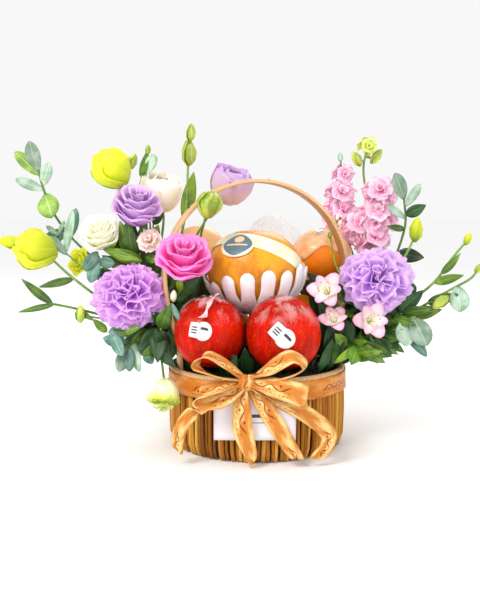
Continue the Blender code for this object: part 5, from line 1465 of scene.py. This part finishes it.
dress(joined("wrap_fold", [tagged(lump, WRAP, 0.5)]), "clear_wrap", "film_wrap")

# Painted highlight: a nearly solid pale peach cap on the top of the right orange, in its wrap.
ORANGE_WRAP_HIGHLIGHT = wrap_finish("peach_wrap_highlight", (0.92, 0.48, 0.2), (0.86, 1.0), (0.95, 0.64, 0.38), relief=0.15)


def cap_form(u, v):
    """A cap of wrap on the right orange, whose pale peach is a painted highlight, with an uneven lower edge.
    """
    turn = math.pi * u
    edge = 84 + 14 * math.sin(2 * turn + 1.4) + 7 * math.sin(5 * turn)
    out = sphere_way(math.radians(2 + edge * v), turn)
    return on_fruit("orange_right", out, (0.9 + 0.3 * math.sin(11 * turn)) * MM)


dress(joined("orange_wrap_highlight", [shaped(grid(64, 12), ORANGE_WRAP_HIGHLIGHT, 0.5, cap_form)], 0.25 * MM), "clear_wrap")
# Painted glints: pale pink streaks on the apples' film, which fade out below their tops.
APPLE_WRAP_GLINTS = wrap_finish("apple_wrap_glints", (0.95, 0.3, 0.26), (-0.3, 0.36), (0.98, 0.74, 0.72),
                         heights=(0.14, 0.172), tall=0.2, relief=0.2)


def apple_film(name):
    """Thin film round an apple, with shallow creases that run to its top, where its painted glints show."""

    def form(u, v):
        turn = math.pi * u
        crease = 0.35 * math.sin(9 * turn) + 0.3 * math.sin(14 * turn + 3 * v)
        return on_fruit(name, sphere_way(math.radians(8 + 150 * v), turn), (1.6 + crease * (1 - v)) * MM)

    shell = shaped(grid(60, 30), APPLE_WRAP_GLINTS, 0.5, form)
    dress(joined(name + "_film", [shell], 0.2 * MM), "clear_wrap")


for name in ("apple_left", "apple_right"):
    apple_film(name)
# The tail's pinkish white folds are painted glints.
TWIST = wrap_finish("pink_wrap_glints", (0.95, 0.4, 0.48), (0.4, 0.9), (0.98, 0.74, 0.8))
TAIL_LINE = ((-39, -56, 172), (-45, -66, 170), (-51, -77, 163), (-57, -87, 150))
TAIL = smooth_path([mm(p) for p in TAIL_LINE], 6)


def tail_form(u, v):
    """The twisted end of the left apple's film, which opens into a small fan."""
    here = TAIL[round(v * (len(TAIL) - 1))]
    width = (1.5 + 8 * v ** 1.5) * MM
    turn = 2.2 * math.pi * (1 - v)
    side = Vector((math.cos(turn), 0.2, math.sin(turn)))
    return here + side * u * width / 2 + FRONT * 0.8 * MM * math.cos(4 * u) * v


dress(joined("wrap_tail", [shaped(grid(6, 18), TWIST, 0.5, tail_form)], 0.3 * MM), "clear_wrap")
LILAC_LABEL = label_finish("orange_label", (0.55, 0.45, 0.7), (0.85, 0.82, 0.9), (0.1, 0.06, 0.2), True)


def sticker_form(u, v):
    """A small oval sticker on the top of the right orange."""
    aim = Vector((-0.1, -0.5, 0.85)).normalized()
    side, above = Vector((1, 0, 0)), aim.cross(Vector((1, 0, 0)))
    x, y = oval(u, v)
    reach = FRUIT["orange_right"][1].x
    return on_fruit("orange_right", aim * reach + side * x * 6 * MM + above * y * 3 * MM, 1.5 * MM)


dress(joined("orange_sticker", [shaped(grid(10, 8), LILAC_LABEL, 0.5, sticker_form)], 0.2 * MM), "label")

# %% [markdown]
# The ribbon is orange satin, 20 mm wide: one band round the rim, and a bow of four loops and
# four tails. Satin is shiny along its threads, and a running scroll with dots and a dashed line
# are woven into it. A run of ribbon is a grid laid along a curve, pinched where it meets the
# knot, and its UV map is stretched so that the print keeps its size.

# %% The ribbon
RIBBON_WIDTH, RIBBON_THICKNESS = 20 * MM, 0.6 * MM
SATIN, tree, shader = new_finish("orange_satin", Roughness=0.34, Specular_IOR_Level=0.22, Anisotropic=0.6,
                                 Specular_Tint=(1, 0.85, 0.5, 1))
parts = node(tree, "SeparateXYZ", {0: own_uv(tree)})
across, along = calc(tree, "SUBTRACT", parts.outputs[0], 0.5), parts.outputs[1]
phase = calc(tree, "MULTIPLY", along, 6.4)
scroll = calc(tree, "MULTIPLY", calc(tree, "SINE", phase), 0.12)
height = calc(tree, "SUBTRACT", across, scroll)
thick = calc(tree, "MULTIPLY_ADD", calc(tree, "COSINE", calc(tree, "MULTIPLY", phase, 2.0)), 0.016, 0.034)
ink = within(tree, height, 0.0, thick)
spot = node(tree, "CombineXYZ", {0: calc(tree, "SUBTRACT", calc(tree, "PINGPONG", along, 0.49), 0.245),
                                 1: calc(tree, "ADD", across, scroll)})
round_spot = node(tree, "VectorMath", {0: spot.outputs[0]}, operation="LENGTH").outputs["Value"]
ink = calc(tree, "MAXIMUM", ink, calc(tree, "LESS_THAN", round_spot, 0.055))
dashes = calc(tree, "GREATER_THAN", calc(tree, "SINE", calc(tree, "MULTIPLY", along, 30.0)), 0)
dashes = calc(tree, "MULTIPLY", dashes, within(tree, across, -0.3, 0.018))
ink = calc(tree, "MAXIMUM", ink, dashes)
gaps = calc(tree, "GREATER_THAN", calc(tree, "SINE", calc(tree, "MULTIPLY", along, 1.6)), -0.35)
ink = calc(tree, "MULTIPLY", ink, gaps)
threads = use(tree, streaks, Vector=own_uv(tree, (90, 1, 1)), Scale=1.0, Blur=0.3)
silk = mix(tree, threads, rgb(0.5, 0.115, 0.005), rgb(0.68, 0.21, 0.012))
# Painted highlight: broad pale cream patches along the ribbon, as much as each piece's tone gives.
painted_highlight = use(tree, blotches, Vector=own_uv(tree, (1.6, 0.5, 1)), Scale=1.3, Low=0.42, High=0.6)
painted_highlight = calc(tree, "MULTIPLY", calc(tree, "MULTIPLY_ADD", painted_highlight, 0.9, 0.12), own_tone(tree))
silk = mix(tree, painted_highlight, silk, rgb(0.96, 0.68, 0.27))
paint(tree, shader, mix(tree, calc(tree, "MULTIPLY", ink, 0.85), silk, rgb(0.22, 0.015, 0.008)))
bump(tree, shader, threads, 0.12, 0.0002)
# How much painted highlight each part of the ribbon has: most on the bow's runs, least on the upright band
RUN_HIGHLIGHT, KNOT_HIGHLIGHT, BAND_HIGHLIGHT = 0.9, 0.7, 0.25


def lengthen_print(piece, widths):
    """Stretches a grid's UV map along its length, given in ribbon widths."""
    for loop in piece.data.uv_layers[0].data:
        loop.uv = (loop.uv[0], loop.uv[1] * widths)


def ribbon_run(slant, stations):
    """A run of ribbon through (x, y, z, width direction, share of width) stations.

    Its end is cut square where slant is 0, and to one side or the other where it is 1 or -1."""
    steps, camber, slant_depth, pinch_depth = 8, 0.9 * MM, 4 * MM, 2.6 * MM
    places = smooth_path([mm(s[:3]) for s in stations], steps)
    sides = smooth_path([Vector(s[3]).normalized() for s in stations], steps)
    widths = [w.x for w in smooth_path([Vector((s[4] * RIBBON_WIDTH, 0, 0)) for s in stations], steps)]
    count = len(places) - 1
    ends = [places[0], *places, places[-1]]
    ways = [(b - a).normalized() for a, b in zip(ends, ends[2:])]

    def form(u, v):
        i = round(v * count)
        side = (sides[i] - ways[i] * sides[i].dot(ways[i])).normalized()
        over = ways[i].cross(side)
        pinch = max(0, 1 - widths[i] / RIBBON_WIDTH)
        fold = pinch * pinch_depth * math.cos(3 * math.pi * u) + camber * (1 - u * u)
        cut = ways[i] * slant * u * slant_depth * max(0, (v - 0.85) / 0.15)
        return places[i] + side * widths[i] / 2 * u + over * fold + cut

    run = shaped(grid(8, count), SATIN, RUN_HIGHLIGHT, form)
    lengthen_print(run, sum((b - a).length for a, b in zip(places, places[1:])) / RIBBON_WIDTH)
    return run


# Four loops and four tails, each after the slant of its end
BOW_RUNS = [
    (0, [(-14, -113, 91, (0, 0.8, 0.6), 0.25), (-34, -116, 108, (0.1, 0.95, 0.35), 0.9),
         (-52, -115, 117, (0.1, 1, 0.15), 1), (-62, -114, 105, (0.5, 1, -0.1), 1),
         (-38, -115, 92, (0, 0.9, -0.4), 0.7), (-14, -112, 89, (0, 0.7, -0.7), 0.25)]),
    (0, [(-15, -114, 88, (0, 0.8, 0.6), 0.25), (-36, -120, 86, (0, 0.9, 0.45), 0.8),
         (-57, -120, 80, (0.2, 0.8, 0.5), 1), (-59, -118, 71, (0.5, 0.8, 0.5), 1),
         (-36, -118, 73, (0, 0.5, 0.85), 0.9), (-14, -114, 85, (0, 0.6, 0.8), 0.25)]),
    (0, [(-12, -113, 91, (0, 0.8, -0.6), 0.25), (10, -116, 103, (-0.2, 0.75, 0.6), 0.8),
         (32, -116, 115, (-0.2, 0.85, 0.5), 1), (45, -115, 104, (0.4, 1, 0.2), 1),
         (20, -115, 91, (0, 0.9, -0.35), 0.7), (-12, -112, 89, (0, 0.8, -0.6), 0.25)]),
    (0, [(-11, -114, 88, (0, 0.4, 0.9), 0.25), (10, -120, 86, (0, 0.3, 0.95), 0.9),
         (34, -121, 80, (0, 0.2, 1), 1.1), (46, -118, 74, (0, 0.3, 1), 1.1),
         (24, -113, 74, (0, 0.3, 1), 0.8), (-11, -112, 85, (0, 0.6, 0.8), 0.25)]),
    (1, [(-17, -110, 87, (0.3, 0.5, 0.8), 0.25), (-42, -109.5, 73, (0.5, 0.15, 0.8), 0.7),
         (-70, -107, 53, (0.7, -0.1, 0.4), 0.7), (-81, -105, 33, (0.8, -0.2, 0), 0.7),
         (-83, -104, 17, (0.8, -0.2, 0), 0.6)]),
    (-1, [(-14, -111, 84, (1, 0, 0), 0.25), (-17, -112, 66, (1, 0, 0), 0.85),
         (-16, -113, 40, (1, 0, 0), 1), (-9, -112, 17, (1, 0.1, 0), 0.7), (-5, -111, 6, (1, 0.1, 0), 0.5)]),
    (1, [(-11, -109, 84, (1, 0, 0.3), 0.25), (6, -108.5, 62, (1, 0, 0.5), 0.85),
         (24, -109, 33, (1, 0, 0.5), 0.85), (39, -109, 9, (1, 0, 0.5), 0.6)]),
    (-1, [(-9, -109, 87, (0, 0.2, 1), 0.25), (18, -105.8, 71, (0.2, 0, 1), 0.8),
         (48, -106, 54, (0.5, 0, 0.8), 0.85), (69, -104, 36, (0.9, 0.2, 0.4), 0.85),
         (69, -103, 20, (0.9, 0.3, -0.2), 0.8), (58, -105, 8, (0.8, 0.2, -0.5), 0.6)]),
]
KNOT = mm((-13, -112, 88))


def knot_wrap(tilt):
    """One wrap of ribbon round the knot."""

    def form(u, v):
        turn = 2 * math.pi * v * 0.96 + 1.6
        ring = mm((4 * math.sin(turn) * tilt + 7.5 * u, 6 * math.cos(turn), 7.5 * math.sin(turn)))
        return KNOT + ring * (1 - 0.15 * math.cos(2.5 * math.pi * u))

    wrap = shaped(grid(8, 32), SATIN, KNOT_HIGHLIGHT, form)
    lengthen_print(wrap, 2.2)
    return wrap


parts = [ribbon_run(*run) for run in BOW_RUNS] + [knot_wrap(tilt) for tilt in (0.0, 0.5)]
dress(joined("bow", parts, RIBBON_THICKNESS), "satin", "ribbon_bow")


def band_form(u, v):
    """The band round the rim, with small soft waves."""
    turn = 2 * math.pi * v - math.pi / 2
    height = (74 + 10 * u) * MM
    radius = wall_radius(height) + (1.3 + 0.25 * math.sin(9 * turn + u) + 0.15 * math.sin(23 * turn)) * MM
    return round_way(turn) * radius + UP * height


band = shaped(grid(6, 220), SATIN, BAND_HIGHLIGHT, band_form)
lengthen_print(band, 31)
dress(joined("band", [band], RIBBON_THICKNESS), "satin", "ribbon_band")

# %% [markdown]
# The card hangs behind the bow. It is white board with a faint lilac shade, 83 by 50 mm, and has
# a red mark, a dark bar and a thin line. It is a grid, a little bowed and thickened.

# %% The card
BOARD, tree, shader = new_finish("white_board", Roughness=0.5)
shade = use(tree, blotches, Vector=object_place(tree), Scale=30.0)
colour = mix(tree, shade, rgb(0.86, 0.8, 0.87), rgb(0.92, 0.88, 0.92))
parts = node(tree, "SeparateXYZ", {0: own_uv(tree)})
# Each bar: its middle across and up, half its width and height, its colour
for middle, height, half_width, half_height, ink in (
        (0.53, 0.74, 0.022, 0.05, (0.6, 0.02, 0.03)),
        (0.52, 0.5, 0.07, 0.035, (0.05, 0.05, 0.06)),
        (0.52, 0.36, 0.1, 0.012, (0.3, 0.3, 0.32))):
    bar = calc(tree, "MULTIPLY", within(tree, parts.outputs[0], middle, half_width),
               within(tree, parts.outputs[1], height, half_height))
    colour = mix(tree, bar, colour, rgb(*ink))
paint(tree, shader, colour)
bump(tree, shader, shade, 0.1, 0.0003)
CARD = mm((-4, -103, 52))


def card_form(u, v):
    """The card's face, a little bowed."""
    y = 2 * v - 1
    return CARD + mm((41.5 * u, -0.6 * (1 - u * u), 25 * y))


card = joined("card", [shaped(grid(12, 8), BOARD, 0.5, card_form)])
modify(card, "SOLIDIFY", thickness=0.5 * MM, offset=0)
dress(card, "paper", "gift_card")

# %% [markdown]
# The floor is plain and pale. The flat grids that petals and leaves were copied from are
# removed.

# %% Floor finish and end
PALE, tree, shader = new_finish("pale_floor", Roughness=0.9, Specular_IOR_Level=0.1)
paint(tree, shader, blotched(tree, 3.0, (0.975, 0.975, 0.975), (0.99, 0.99, 0.99)))
floor.data.materials.append(PALE)
for thing in list(scene.objects):
    if thing.type == "MESH" and thing.hide_render and "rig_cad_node" not in thing:
        bpy.data.objects.remove(thing)
